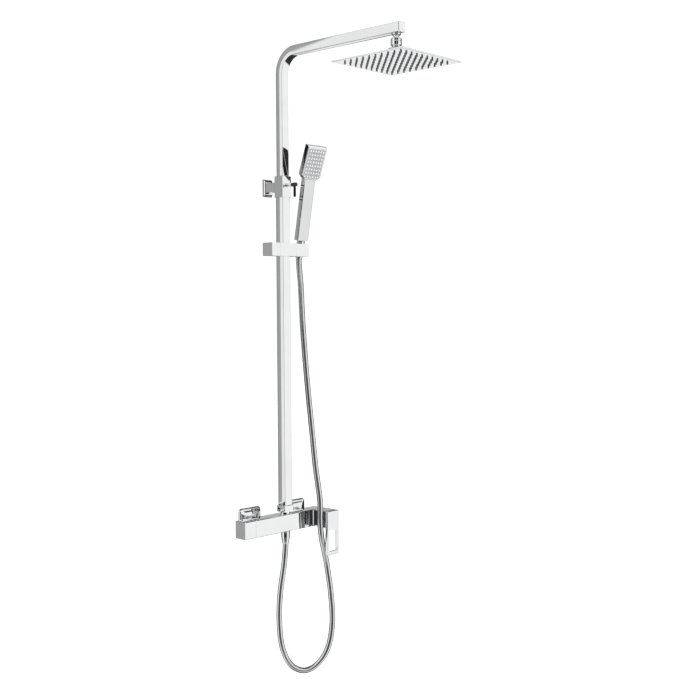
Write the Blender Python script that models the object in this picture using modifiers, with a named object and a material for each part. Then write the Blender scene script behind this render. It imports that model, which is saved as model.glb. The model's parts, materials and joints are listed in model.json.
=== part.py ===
"""Square exposed shower column: bar mixer, telescopic riser, rain head and handset on a slider.

Metres, +Z up. The wall is the plane y = 0, the object stands in front of it on the -Y side,
and the origin is the centre of the wall bracket's back face.
"""
from math import cos, pi, radians, sin

import bmesh
import bpy
from mathutils import Matrix, Vector

# ---------------------------------------------------------------- driving dimensions
GAP = 0.0003                      # air kept between pieces that touch
ROUND_STEPS = 18                  # sides of a turned piece
BORE_SIDES = 20                   # sides of a water bore or a spindle
SCREW_SIDES = 16                  # sides of a small screw and its hole
HEX_SIDES = 6
FINE_EDGE = 0.0006                # softened edges, by size of piece
EDGE = 0.0010
THROUGH = 0.06                    # length of a cutter that goes right through

RISER_Y = -0.056                  # riser axis in front of the wall
MIXER_TOP = -0.779                # top face of the mixer bar
ARM_TOP = 0.325                   # top face of the rain arm

LOWER_TUBE = 0.024                # outer side of the square lower tube
UPPER_TUBE = 0.021                # outer side of the square upper tube
TUBE_WALL = 0.0012
TUBE_CORNER = 0.0020              # corner radius of both tubes
LOWER_TUBE_TOP = -0.009
UPPER_TUBE_FOOT = -0.290
BEND_RADIUS = 0.050               # centreline radius of the arm's bend
BEND_STEPS = 10
ARM_REACH = 0.368                 # riser axis to the arm's open end
HEAD_REACH = 0.353                # riser axis to the rain head's axis

BRACKET_BASE = (0.024, 0.005, 0.036)
BRACKET_COVER = (0.030, 0.0095, 0.042)
WALL_SCREW_INSET = 0.0030         # screw axis to the end of the base plate
COVER_WALL = 0.002
POST_SIDE = 0.022
COLLAR_SIDE = 0.028
COLLAR_HEIGHT = 0.050
WALL_SCREW_HEAD = 0.0028          # radii of the countersunk wall screws
WALL_SCREW_SHANK = 0.0017
WALL_SCREW_LENGTH = 0.022
SCREW_Z = 0.003                   # height of the telescope screw
SCREW_REACH = 0.046               # riser axis to the telescope screw's tip
SCREW_BARREL = 0.0048             # radius outside the collar
SCREW_NECK = 0.0037               # radius in the collar
STICK_REACH = 0.040               # riser axis to the drop handle
STICK_RADIUS = 0.0032
STICK_FOOT = -0.029
LOCK_PAD_RADIUS = 0.0036
LOCK_PAD_DEPTH = 0.0016

PLUG_FLANGE = 0.012               # height of the upper tube's plug below the tube
PLUG_SPIGOT = 0.012               # and inside it
SEAL_GROOVE = (0.0016, 0.004)     # depth and height of the plug's groove

BAR_LEFT = -0.145                 # outer end of the diverter knob
BAR_SEAM = -0.111                 # knob to bar
BAR_RIGHT = 0.117
BAR_DEPTH = 0.035
BAR_HEIGHT = 0.041
BAR_EDGE = 0.0013
VALVE_LEFT = 0.078
VALVE_FRONT = -0.0565             # front of the valve housing, from the riser axis
VALVE_AXIS_X = 0.0975
LEVER_SIZE = (0.039, 0.009, 0.107)
LEVER_BACK = -0.0573
SLOT_SIZE = (0.027, 0.052)
SLOT_BOTTOM = -0.099
LEVER_EDGE = 0.0012
LEVER_DEPTH_AXIS = 0.0045         # the lever's set screw behind its front face
WATERWAY = 0.006                  # radius of the bore along the bar
DROP_BORE = 0.0050                # radius of the bores up to the riser and down to the hose
PORT_RADIUS = 0.0080              # radius of the nipples screwed into the bar
PORT_DEPTH = 0.012
CARTRIDGE_RADIUS = 0.0150
CARTRIDGE_LENGTH = 0.0175
CARTRIDGE_BORE = (0.0160, 0.0295)  # radius and length
CARTRIDGE_NUT = (0.0156, 0.0085)   # outer and inner radius
SPINDLE_RADIUS = 0.0050
SPINDLE_FLANGE = 0.0075
DIVERTER_RADIUS = 0.0126
DIVERTER_LENGTH = 0.0195
DIVERTER_BORE = (0.0130, 0.024)
RISER_NUT_SIDE = 0.028
RISER_NUT_FOOT = 0.0040           # above the bar
RISER_NUT_TOP = 0.0205
RISER_NECK_TOP = 0.0078

INLET_X = 0.075                   # standard 150 mm centres, at the bar and at the wall
UNION_SHIFT = 0.0075              # both eccentric unions are turned to the right
UNION_RISE = 0.0030               # and a little upwards
ROSETTE_SIDE = 0.068
ROSETTE_DEPTH = 0.012
ROSETTE_CORNER = 0.0065
UNION_TAIL = 0.012                # thread inside the wall
UNION_TAIL_RADIUS = 0.0100
UNION_NECK_RADIUS = 0.0092
UNION_BORE = 0.0060
UNION_NUT_RADIUS = 0.0185         # across the corners of the hexagon, halved
INLET_STUB = (0.0120, 0.009)      # radius, and length behind the bar
WASHER_THICKNESS = 0.0015

HEAD_SIDE = 0.200
HEAD_TOP = 0.2440                 # back of the tray
TRAY_DEPTH = 0.0030
TRAY_WALL = 0.0006
TRAY_RIM = 0.0022                 # width of the rim round the face
FACE_THICKNESS = 0.0006
MAT_THICKNESS = 0.0006
HEAD_INLET = 0.0030               # radius of the waterway down into the tray
NOZZLE_ROWS = 10
NOZZLE_PITCH = 0.0174
NOZZLE_RADIUS = 0.0021
NOZZLE_LENGTH = 0.0045
NOZZLE_SIDES = 5
BALL_CENTRE_Z = 0.2875
BALL_RADIUS = 0.0068
SEAT_THICKNESS = 0.0018
BALL_NECK_RADIUS = 0.0062         # thread inside the arm
BALL_COLLAR_RADIUS = 0.0102       # under the arm
BALL_STEM_RADIUS = 0.0056
SWIVEL_NUT_RADIUS = 0.0122
SWIVEL_RING_RADIUS = 0.0103
FLANGE_FOOT_RADIUS = 0.0190

SLIDER_Z = -0.149                 # centre height of the slider
SLIDER_HEIGHT = 0.031
SLIDER_FRONT = -0.019             # from the riser axis
SLIDER_BACK = 0.015
KNOB_LEFT = -0.0535
KNOB_SEAM = -0.027
HOLDER_SEAM = 0.0255
HOLDER_RIGHT = 0.0670
LINER_WALL = 0.0016
CLAMP_SCREW_RADIUS = 0.0043
CLAMP_PAD_RADIUS = 0.0046
CLAMP_PAD_DEPTH = 0.0020
HOLDER_PIN_RADIUS = 0.0047
HANDSET_X = 0.0510
HANDSET_Y = -0.0076               # handset axis where it enters the holder, from the riser axis
HANDSET_LEAN = radians(10.3)
HANDSET_TURN = radians(-12)       # the handset stands a little turned in its cradle
HEAD_LEAN = radians(12.5)         # handset head against its handle
HANDLE_FOOT = 0.0085              # handle foot above the holder's top, along the axis
HANDLE_LENGTH = 0.156
HANDLE_SIZE = (0.030, 0.016)
HANDSET_HEAD = (0.052, 0.0175, 0.0815)
HEAD_SHOULDER = 0.0085            # cut corners where the head meets the handle
HEAD_BROW = 0.0045                # chamfer along the head's top front edge
HANDSET_POCKET = (0.0445, 0.0100, 0.0700)
POCKET_MIDDLE = 0.0385            # centre of the nozzle face above the head's foot
HAND_COLUMNS = 6
HAND_ROWS = 8
HAND_PITCH = (0.0072, 0.0088)
HAND_NOZZLE_RADIUS = 0.0022
HAND_NOZZLE_REACH = 0.0012        # how far the nozzles stand out of the face
HAND_FACE_THICKNESS = 0.0012
HAND_MAT_THICKNESS = 0.0010
HANDLE_EDGE = 0.0012
HANDLE_BORE = 0.0045
NIPPLE_RADII = (0.0063, 0.0072)   # in the handle, and in the hose's nut
CONE_TOP_RADIUS = 0.0095
CONE_FOOT_RADIUS = 0.0078
CONE_LENGTH = 0.0350

HOSE_RADIUS = 0.0070
HOSE_POINT_SPACING = 0.033
HOSE_END_STRAIGHT = 0.005         # straight where the hose leaves each nut
OUTLET_NUT_LENGTH = 0.032

# The hose hangs from the holder, passes down beside the valve housing and behind the lever,
# and loops back up to the outlet. Measured from the riser axis at the top of the mixer bar.
HOSE_ROUTE = (
    (0.0505, -0.0035, 0.580),
    (0.0490, -0.0090, 0.545),
    (0.0475, -0.0130, 0.500),
    (0.0465, -0.018, 0.439),
    (0.0485, -0.024, 0.357),
    (0.0530, -0.029, 0.275),
    (0.0580, -0.035, 0.192),
    (0.0625, -0.041, 0.110),
    (0.0685, -0.0490, 0.030),
    (0.0688, -0.0493, -0.025),
    (0.0735, -0.0493, -0.065),
    (0.0840, -0.0493, -0.102),
    (0.0930, -0.0510, -0.140),
    (0.0990, -0.0565, -0.205),
    (0.0970, -0.0610, -0.275),
    (0.0860, -0.0560, -0.335),
    (0.0640, -0.0410, -0.373),
    (0.0360, -0.0230, -0.386),
    (0.0080, -0.0050, -0.368),
    (-0.0090, 0.0060, -0.322),
    (-0.0145, 0.0090, -0.256),
    (-0.0120, 0.0070, -0.190),
    (-0.0040, 0.0020, -0.125),
)


# ---------------------------------------------------------------- scene and materials
def clear_scene():
    for item in list(bpy.data.objects):
        bpy.data.objects.remove(item, do_unlink=True)


def new_collection(name):
    collection = bpy.data.collections.new(name)
    bpy.context.scene.collection.children.link(collection)
    return collection


def principled(name, colour, roughness, metallic):
    material = bpy.data.materials.new(name)
    material.use_nodes = True
    shader = material.node_tree.nodes["Principled BSDF"]
    shader.inputs["Base Color"].default_value = (*colour, 1.0)
    shader.inputs["Roughness"].default_value = roughness
    shader.inputs["Metallic"].default_value = metallic
    return material


def polished_chrome():
    return principled("polished_chrome", (0.86, 0.87, 0.88), 0.05, 1.0)


def brushed_steel():
    return principled("brushed_steel", (0.66, 0.67, 0.68), 0.25, 1.0)


def machined_brass():
    return principled("machined_brass", (0.78, 0.60, 0.30), 0.30, 1.0)


def white_plastic():
    return principled("white_plastic", (0.86, 0.86, 0.85), 0.40, 0.0)


def grey_rubber():
    return principled("grey_rubber", (0.42, 0.43, 0.44), 0.60, 0.0)


def pale_rubber():
    return principled("pale_rubber", (0.86, 0.86, 0.85), 0.50, 0.0)


def black_rubber():
    return principled("black_rubber", (0.03, 0.03, 0.03), 0.70, 0.0)


clear_scene()
PARTS = new_collection("rainfall_shower_column")
CUTTERS = new_collection("cutters")
CHROME = polished_chrome()
STEEL = brushed_steel()
BRASS = machined_brass()
PLASTIC = white_plastic()
NOZZLE_RUBBER = grey_rubber()
PALE_RUBBER = pale_rubber()
SEAL_RUBBER = black_rubber()


# ---------------------------------------------------------------- building blocks
def place(name, mesh, centre, parent, material):
    """A named object in the parts collection; centre is in the parent's own frame."""
    item = bpy.data.objects.new(name, mesh)
    PARTS.objects.link(item)
    item.location = centre
    item.parent = parent
    if material:
        mesh.materials.append(material)
    return item


def empty(name, location, parent=None, lean=0.0):
    """A frame for a moving group, with its origin on the joint axis."""
    item = bpy.data.objects.new(name, None)
    item.empty_display_size = 0.02
    PARTS.objects.link(item)
    item.location = location
    item.rotation_euler.x = lean
    item.parent = parent
    return item


def finish_mesh(name, builder):
    mesh = bpy.data.meshes.new(name)
    builder.to_mesh(mesh)
    builder.free()
    return mesh


def soften(item, width, segments=2):
    bevel = item.modifiers.new("edges", "BEVEL")
    bevel.width = width
    bevel.segments = segments
    bevel.limit_method = "ANGLE"
    return item


def block(name, centre, size, material=None, parent=None, edge=0.0):
    """A box of the given size, with softened edges where edge is given."""
    builder = bmesh.new()
    bmesh.ops.create_cube(builder, size=1.0)
    bmesh.ops.scale(builder, vec=size, verts=builder.verts)
    item = place(name, finish_mesh(name, builder), centre, parent, material)
    if edge:
        soften(item, edge)
    return item


def span(name, low, high, material=None, parent=None, edge=0.0):
    """A box between two corners."""
    centre = [(a + b) / 2 for a, b in zip(low, high)]
    size = [b - a for a, b in zip(low, high)]
    return block(name, centre, size, material, parent, edge)


def trim_edges(item, chosen, width, segments=1):
    """Rounds or chamfers a block's edges; chosen takes an edge's middle and its direction."""
    builder = bmesh.new()
    builder.from_mesh(item.data)
    edges = []
    for edge in builder.edges:
        start, end = (vert.co for vert in edge.verts)
        if chosen((start + end) / 2, (end - start).normalized()):
            edges.append(edge)
    bmesh.ops.bevel(builder, geom=edges, offset=width, segments=segments, profile=0.5, affect="EDGES",
                    offset_type="OFFSET")
    builder.to_mesh(item.data)
    builder.free()


def turn_to(axis):
    """Rotation that takes +Z to the given axis."""
    return Vector(axis).to_track_quat("Z", "Y").to_euler()


def cylinder(name, centre, radius, length, axis=(0, 0, 1), material=None, parent=None,
             sides=ROUND_STEPS, end_radius=None):
    """A cylinder or cone; end_radius is the radius at the end that the axis points to."""
    builder = bmesh.new()
    top = radius if end_radius is None else end_radius
    bmesh.ops.create_cone(builder, cap_ends=True, segments=sides, radius1=radius, radius2=top,
                          depth=length)
    mesh = finish_mesh(name, builder)
    mesh.shade_smooth()
    mesh.set_sharp_from_angle(angle=radians(35))
    item = place(name, mesh, centre, parent, material)
    item.rotation_euler = turn_to(axis)
    return item


def turned(name, centre, profile, axis=(0, 0, 1), material=None, parent=None, steps=ROUND_STEPS):
    """A turned piece: profile is (radius, height) down its outer side; a ring's profile closes."""
    builder = bmesh.new()
    verts = [builder.verts.new((radius, 0.0, height)) for radius, height in profile]
    for start, end in zip(verts, verts[1:]):
        builder.edges.new((start, end))
    if profile[0][0] > 0:
        builder.edges.new((verts[-1], verts[0]))
    mesh = finish_mesh(name, builder)
    item = place(name, mesh, centre, parent, material)
    item.rotation_euler = turn_to(axis)
    screw = item.modifiers.new("turn", "SCREW")
    screw.axis = "Z"
    screw.steps = steps
    screw.render_steps = steps
    screw.use_merge_vertices = True
    screw.merge_threshold = 0.00001
    screw.use_smooth_shade = True
    return item


def ring(name, centre, outer, inner, length, axis=(0, 0, 1), material=None, parent=None,
         steps=ROUND_STEPS):
    """A plain washer or sleeve."""
    half = length / 2
    profile = ((outer, half), (outer, -half), (inner, -half), (inner, half))
    return turned(name, centre, profile, axis, material, parent, steps)


def as_tool(item):
    """Moves a cutter, or a shape that is joined to another, out of the visible model."""
    PARTS.objects.unlink(item)
    CUTTERS.objects.link(item)
    item.hide_render = True
    item.display_type = "WIRE"
    return item


def combine(target, operation, tools):
    for tool in tools:
        as_tool(tool)
        boolean = target.modifiers.new(tool.name, "BOOLEAN")
        boolean.operation = operation
        boolean.solver = "EXACT"
        boolean.object = tool
    return target


def cut(target, *tools):
    return combine(target, "DIFFERENCE", tools)


def join(target, *tools):
    return combine(target, "UNION", tools)


def square_tube(name, centre, side, wall, length, material, parent=None):
    """An upright square tube with open ends and rounded corners."""
    builder = bmesh.new()
    add_square_loop(builder, side, Vector((0, 0, -length / 2)))
    extrude_loop(builder, builder.edges[:], Vector((0, 0, length)))
    item = place(name, finish_mesh(name, builder), centre, parent, material)
    return thicken(item, wall)


def add_square_loop(builder, side, centre):
    """An open loop of edges: a square with rounded corners, level, counter-clockwise."""
    bmesh.ops.create_circle(builder, cap_ends=False, radius=side / 2 ** 0.5, segments=4,
                            matrix=Matrix.Translation(centre) @ Matrix.Rotation(pi / 4, 4, "Z"))
    bmesh.ops.bevel(builder, geom=builder.verts[:], affect="VERTICES", offset=TUBE_CORNER,
                    segments=3, profile=0.5, offset_type="OFFSET")


def extrude_loop(builder, edges, shift):
    """Pulls a loop of edges along and returns the new loop."""
    made = bmesh.ops.extrude_edge_only(builder, edges=edges)["geom"]
    verts = [piece for piece in made if isinstance(piece, bmesh.types.BMVert)]
    bmesh.ops.translate(builder, verts=verts, vec=shift)
    return [piece for piece in made if isinstance(piece, bmesh.types.BMEdge)]


def thicken(item, wall):
    """Turns an open wall into a closed solid that keeps its outer size."""
    builder = bmesh.new()
    builder.from_mesh(item.data)
    bmesh.ops.recalc_face_normals(builder, faces=builder.faces)
    builder.to_mesh(item.data)
    builder.free()
    solidify = item.modifiers.new("wall", "SOLIDIFY")
    solidify.thickness = wall
    solidify.offset = -1.0
    solidify.use_even_offset = True
    return item


# ---------------------------------------------------------------- wall bracket
def make_bracket():
    base_x, base_y, base_z = BRACKET_BASE
    base = span("bracket_base", (-base_x / 2, -base_y, -base_z / 2), (base_x / 2, 0, base_z / 2),
                STEEL)
    screw_height = base_z / 2 - WALL_SCREW_INSET
    for name, height in (("base_screw_upper", screw_height), ("base_screw_lower", -screw_height)):
        make_wall_screw(name, height, base)
    cover_x, cover_y, cover_z = BRACKET_COVER
    cover = span("bracket_cover", (-cover_x / 2, -cover_y, -cover_z / 2),
                 (cover_x / 2, -GAP, cover_z / 2), CHROME, edge=EDGE)
    room_x, room_z = cover_x / 2 - COVER_WALL, cover_z / 2 - COVER_WALL
    hollow = span("cover_hollow", (-room_x, -cover_y + COVER_WALL, -room_z), (room_x, COVER_WALL, room_z))
    opening = POST_SIDE + 2 * GAP
    window = block("cover_window", (0, -cover_y, 0), (opening, 2 * cover_y, opening))
    cut(cover, hollow, window)
    post_back = -base_y - GAP
    post_front = RISER_Y + COLLAR_SIDE / 2 + GAP
    half = POST_SIDE / 2
    span("bracket_post", (-half, post_front, -half), (half, post_back, half), CHROME, edge=FINE_EDGE)
    make_collar()
    make_telescope_lock()


def make_wall_screw(name, height, base):
    """A countersunk screw through the base plate into the wall."""
    face = -BRACKET_BASE[1] - 0.0005
    cone = WALL_SCREW_HEAD / 2
    profile = ((0, 0.0), (WALL_SCREW_HEAD, 0.0), (WALL_SCREW_SHANK, -cone),
               (WALL_SCREW_SHANK, 0.002 - WALL_SCREW_LENGTH), (0, -WALL_SCREW_LENGTH))
    turned(name, (0, face, height), profile, (0, -1, 0), STEEL, steps=SCREW_SIDES)
    hole = cylinder(name + "_hole", (0, 0, height), WALL_SCREW_HEAD + GAP, THROUGH, (0, 1, 0),
                    sides=SCREW_SIDES)
    cut(base, hole)


def make_collar():
    """The sleeve that holds the riser: wide bore round the lower tube, narrow round the upper."""
    collar = block("bracket_collar", (0, RISER_Y, 0), (COLLAR_SIDE, COLLAR_SIDE, COLLAR_HEIGHT),
                   CHROME, edge=FINE_EDGE)
    step = LOWER_TUBE_TOP + GAP
    wide = LOWER_TUBE / 2 + GAP
    narrow = UPPER_TUBE / 2 + GAP
    lower = span("collar_lower_bore", (-wide, RISER_Y - wide, -COLLAR_HEIGHT),
                 (wide, RISER_Y + wide, step))
    upper = span("collar_upper_bore", (-narrow, RISER_Y - narrow, step - GAP),
                 (narrow, RISER_Y + narrow, COLLAR_HEIGHT))
    wall = COLLAR_SIDE / 2 - narrow
    screw_hole = cylinder("collar_screw_hole", (0, RISER_Y - COLLAR_SIDE / 2, SCREW_Z), SCREW_NECK + GAP,
                          2 * wall + 2 * GAP, (0, 1, 0))
    cut(collar, lower, upper, screw_hole)


def make_telescope_lock():
    """Screw, its drop handle, and the pad that it presses on the upper tube."""
    tube_face = UPPER_TUBE / 2 + GAP
    cylinder("lock_pad", (0, RISER_Y - tube_face - GAP - LOCK_PAD_DEPTH / 2, SCREW_Z), LOCK_PAD_RADIUS,
             LOCK_PAD_DEPTH, (0, 1, 0), PLASTIC)
    frame = empty("telescope_lock_frame", (0, RISER_Y, SCREW_Z))
    tip = tube_face + LOCK_PAD_DEPTH + 2 * GAP
    shoulder = COLLAR_SIDE / 2 + GAP
    profile = ((0, SCREW_REACH), (SCREW_BARREL - EDGE, SCREW_REACH), (SCREW_BARREL, SCREW_REACH - EDGE),
               (SCREW_BARREL, shoulder), (SCREW_NECK, shoulder), (SCREW_NECK, tip), (0, tip))
    screw = turned("telescope_screw", (0, 0, 0), profile, (0, -1, 0), CHROME, frame)
    pin = STICK_RADIUS - FINE_EDGE
    pin_top = -SCREW_BARREL * 0.4
    stick_top = -SCREW_BARREL - GAP
    profile = ((0, pin_top), (pin, pin_top), (pin, stick_top), (STICK_RADIUS, stick_top),
               (STICK_RADIUS, STICK_FOOT + EDGE), (STICK_RADIUS - EDGE, STICK_FOOT), (0, STICK_FOOT))
    turned("telescope_lever", (0, -STICK_REACH, 0), profile, (0, 0, 1), CHROME, frame)
    socket = cylinder("stick_socket", (0, -STICK_REACH, -SCREW_BARREL), pin + GAP,
                      1.2 * SCREW_BARREL + 2 * GAP, (0, 0, 1), parent=frame, sides=BORE_SIDES)
    cut(screw, socket)


# ---------------------------------------------------------------- riser and rain arm
def make_lower_tube():
    foot = MIXER_TOP + RISER_NECK_TOP + WASHER_THICKNESS + GAP
    centre = (0, RISER_Y, (foot + LOWER_TUBE_TOP) / 2)
    square_tube("lower_tube", centre, LOWER_TUBE, TUBE_WALL, LOWER_TUBE_TOP - foot, CHROME)


def make_upper_tube(frame):
    """Straight leg, bend and arm in one tube, with the hole for the head's outlet below."""
    axis_top = ARM_TOP - UPPER_TUBE / 2
    bend_foot = axis_top - BEND_RADIUS
    builder = bmesh.new()
    add_square_loop(builder, UPPER_TUBE, Vector((0, 0, UPPER_TUBE_FOOT)))
    loop = extrude_loop(builder, builder.edges[:], Vector((0, 0, bend_foot - UPPER_TUBE_FOOT)))
    verts = {vert for edge in loop for vert in edge.verts}
    made = bmesh.ops.spin(builder, geom=loop + list(verts), cent=(0, -BEND_RADIUS, bend_foot),
                          axis=(1, 0, 0), angle=pi / 2, steps=BEND_STEPS, use_merge=False)
    arm_loop = [piece for piece in made["geom_last"] if isinstance(piece, bmesh.types.BMEdge)]
    extrude_loop(builder, arm_loop, Vector((0, BEND_RADIUS - ARM_REACH, 0)))
    mesh = finish_mesh("upper_tube", builder)
    mesh.shade_smooth()
    mesh.set_sharp_from_angle(angle=radians(25))
    tube = place("upper_tube", mesh, (0, 0, 0), frame, CHROME)
    thicken(tube, TUBE_WALL)
    hole = cylinder("arm_outlet_hole", (0, -HEAD_REACH, axis_top - UPPER_TUBE / 2),
                    BALL_NECK_RADIUS + GAP, 4 * TUBE_WALL, parent=frame)
    cut(tube, hole)


def make_arm_end_cap(frame):
    axis_top = ARM_TOP - UPPER_TUBE / 2
    lip = UPPER_TUBE / 2 - TUBE_WALL - GAP
    thickness = 0.0020
    cap = block("arm_end_cap", (0, -ARM_REACH - GAP - thickness / 2, axis_top),
                (UPPER_TUBE, thickness, UPPER_TUBE), CHROME, frame, edge=FINE_EDGE)
    plug = span("end_cap_plug", (-lip, -ARM_REACH - thickness / 2, axis_top - lip),
                (lip, -ARM_REACH + 0.005, axis_top + lip), parent=frame)
    join(cap, plug)


def make_tube_plug(frame):
    """The plug in the foot of the upper tube, and the ring that seals it in the lower tube."""
    inner = UPPER_TUBE / 2 - TUBE_WALL - GAP
    flange = UPPER_TUBE / 2
    plug = span("tube_plug", (-flange, -flange, UPPER_TUBE_FOOT - PLUG_FLANGE),
                (flange, flange, UPPER_TUBE_FOOT - GAP), BRASS, frame)
    spigot = span("plug_spigot", (-inner, -inner, UPPER_TUBE_FOOT - PLUG_FLANGE / 2),
                  (inner, inner, UPPER_TUBE_FOOT + PLUG_SPIGOT), parent=frame)
    join(plug, spigot)
    groove, groove_height = SEAL_GROOVE
    seat = UPPER_TUBE_FOOT - PLUG_FLANGE / 2
    outer_cut = block("plug_groove_outer", (0, 0, seat), (2 * LOWER_TUBE, 2 * LOWER_TUBE, groove_height),
                      parent=frame)
    core = flange - groove
    inner_keep = block("plug_groove_core", (0, 0, seat), (2 * core, 2 * core, THROUGH), parent=frame)
    cut(outer_cut, inner_keep)
    waterway = cylinder("plug_waterway", (0, 0, UPPER_TUBE_FOOT), WATERWAY, THROUGH, parent=frame,
                        sides=BORE_SIDES)
    cut(plug, outer_cut, waterway)
    reach = LOWER_TUBE / 2 - TUBE_WALL - GAP
    seal = block("tube_seal", (0, 0, seat), (2 * reach, 2 * reach, groove_height - 2 * GAP),
                 SEAL_RUBBER, frame)
    hole = core + GAP
    cut(seal, block("seal_hole", (0, 0, seat), (2 * hole, 2 * hole, THROUGH), parent=frame))


# ---------------------------------------------------------------- swivel and rain head
def arc(radius, start, end, count):
    """Points of a turned profile on a sphere about the origin; angles in degrees up from level."""
    angles = [radians(start + (end - start) * step / (count - 1)) for step in range(count)]
    return [(radius * cos(angle), radius * sin(angle)) for angle in angles]


def make_swivel(tube_frame):
    """Ball neck under the arm; the nut, ring and flange turn round the ball with the head."""
    arm_under = ARM_TOP - UPPER_TUBE
    inside = arm_under + TUBE_WALL + 0.004
    bore_top, bore_foot = 0.0035, 0.0020
    collar_top, collar_foot = arm_under - 2 * GAP, arm_under - 0.0045
    ball_low = -67
    profile = [(bore_top, inside), (BALL_NECK_RADIUS, inside), (BALL_NECK_RADIUS, collar_top),
               (BALL_COLLAR_RADIUS, collar_top), (BALL_COLLAR_RADIUS, collar_foot),
               (0.75 * BALL_COLLAR_RADIUS, collar_foot - EDGE), (BALL_STEM_RADIUS, collar_foot - 4 * EDGE)]
    profile += [(radius, BALL_CENTRE_Z + height) for radius, height in arc(BALL_RADIUS, 50, ball_low, 7)]
    profile += [(bore_foot, BALL_CENTRE_Z + BALL_RADIUS * sin(radians(ball_low))),
                (bore_foot, inside - EDGE)]
    turned("swivel_ball", (0, -HEAD_REACH, 0), profile, material=CHROME, parent=tube_frame)


def make_swivel_nut(frame):
    """Nut, seat, ring and flange, about the ball's centre; the seat is a zone of a hollow sphere."""
    socket = BALL_RADIUS + GAP
    pocket = socket + SEAT_THICKNESS + GAP
    seat = arc(socket + SEAT_THICKNESS, -20, -47, 4) + arc(socket, -47, -20, 4)
    turned("swivel_seat", (0, 0, 0), seat, material=PLASTIC, parent=frame)
    opening = arc(pocket, -55, -55, 2)[0][0]
    nut_top, nut_foot, lip = 0.0055, -0.0110, 0.0072
    profile = [(SWIVEL_NUT_RADIUS - 0.0025, nut_top), (SWIVEL_NUT_RADIUS, nut_top - 0.0020),
               (SWIVEL_NUT_RADIUS, nut_foot + EDGE), (SWIVEL_NUT_RADIUS - EDGE, nut_foot),
               (opening, nut_foot)]
    profile += arc(pocket, -55, -7, 5)
    profile += arc(socket, -7, 35, 5)
    profile += [(lip, nut_top)]
    turned("swivel_nut", (0, 0, 0), profile, material=CHROME, parent=frame)
    ring_length = 0.0030
    ring("swivel_ring", (0, 0, nut_foot - GAP - ring_length / 2), SWIVEL_RING_RADIUS, HEAD_INLET,
         ring_length, material=CHROME, parent=frame)
    flange_top = nut_foot - ring_length - 2 * GAP
    tray_top = HEAD_TOP - BALL_CENTRE_Z
    neck = 0.0080
    profile = ((neck, flange_top), (neck, tray_top + 0.0140), (0.85 * FLANGE_FOOT_RADIUS, tray_top + 0.0030),
               (FLANGE_FOOT_RADIUS, tray_top + GAP), (HEAD_INLET, tray_top + GAP), (HEAD_INLET, flange_top))
    turned("head_flange", (0, 0, 0), profile, material=CHROME, parent=frame)


def nozzle_grid(columns, rows, across, up):
    """Centres of a grid of nozzles about the origin."""
    return [((column - (columns - 1) / 2) * across, (row - (rows - 1) / 2) * up)
            for row in range(rows) for column in range(columns)]


def peg_field(name, points, centre, radius, length, parent):
    """Many upright pegs in one tool mesh."""
    builder = bmesh.new()
    for x, y in points:
        bmesh.ops.create_cone(builder, cap_ends=True, segments=NOZZLE_SIDES, radius1=radius,
                              radius2=radius, depth=length, matrix=Matrix.Translation((x, y, 0)))
    return place(name, finish_mesh(name, builder), centre, parent, None)


def make_rain_head(frame):
    """Tray, rubber nozzle mat and perforated face, in the swivel's frame."""
    top = HEAD_TOP - BALL_CENTRE_Z
    half = HEAD_SIDE / 2
    floor = top - TRAY_DEPTH
    tray = span("head_back", (-half, -half, floor), (half, half, top), CHROME, frame, edge=FINE_EDGE)
    room = half - TRAY_RIM
    hollow = span("tray_hollow", (-room, -room, floor - TRAY_DEPTH), (room, room, top - TRAY_WALL),
                  parent=frame)
    inlet = cylinder("tray_inlet", (0, 0, top), HEAD_INLET, 4 * TRAY_DEPTH, parent=frame,
                     sides=SCREW_SIDES)
    cut(tray, hollow, inlet)
    grid = nozzle_grid(NOZZLE_ROWS, NOZZLE_ROWS, NOZZLE_PITCH, NOZZLE_PITCH)
    face_half = room - GAP
    face = span("head_face", (-face_half, -face_half, floor), (face_half, face_half, floor + FACE_THICKNESS),
                CHROME, frame)
    cut(face, peg_field("face_holes", grid, (0, 0, floor), NOZZLE_RADIUS + GAP, 4 * FACE_THICKNESS, frame))
    mat_low = floor + FACE_THICKNESS + GAP
    mat_half = face_half - 2 * EDGE
    mat = span("head_nozzle_mat", (-mat_half, -mat_half, mat_low),
               (mat_half, mat_half, mat_low + MAT_THICKNESS), NOZZLE_RUBBER, frame)
    peg_top, peg_foot = mat_low + MAT_THICKNESS / 2, floor - NOZZLE_LENGTH
    join(mat, peg_field("mat_nozzles", grid, (0, 0, (peg_top + peg_foot) / 2), NOZZLE_RADIUS,
                        peg_top - peg_foot, frame))


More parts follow.
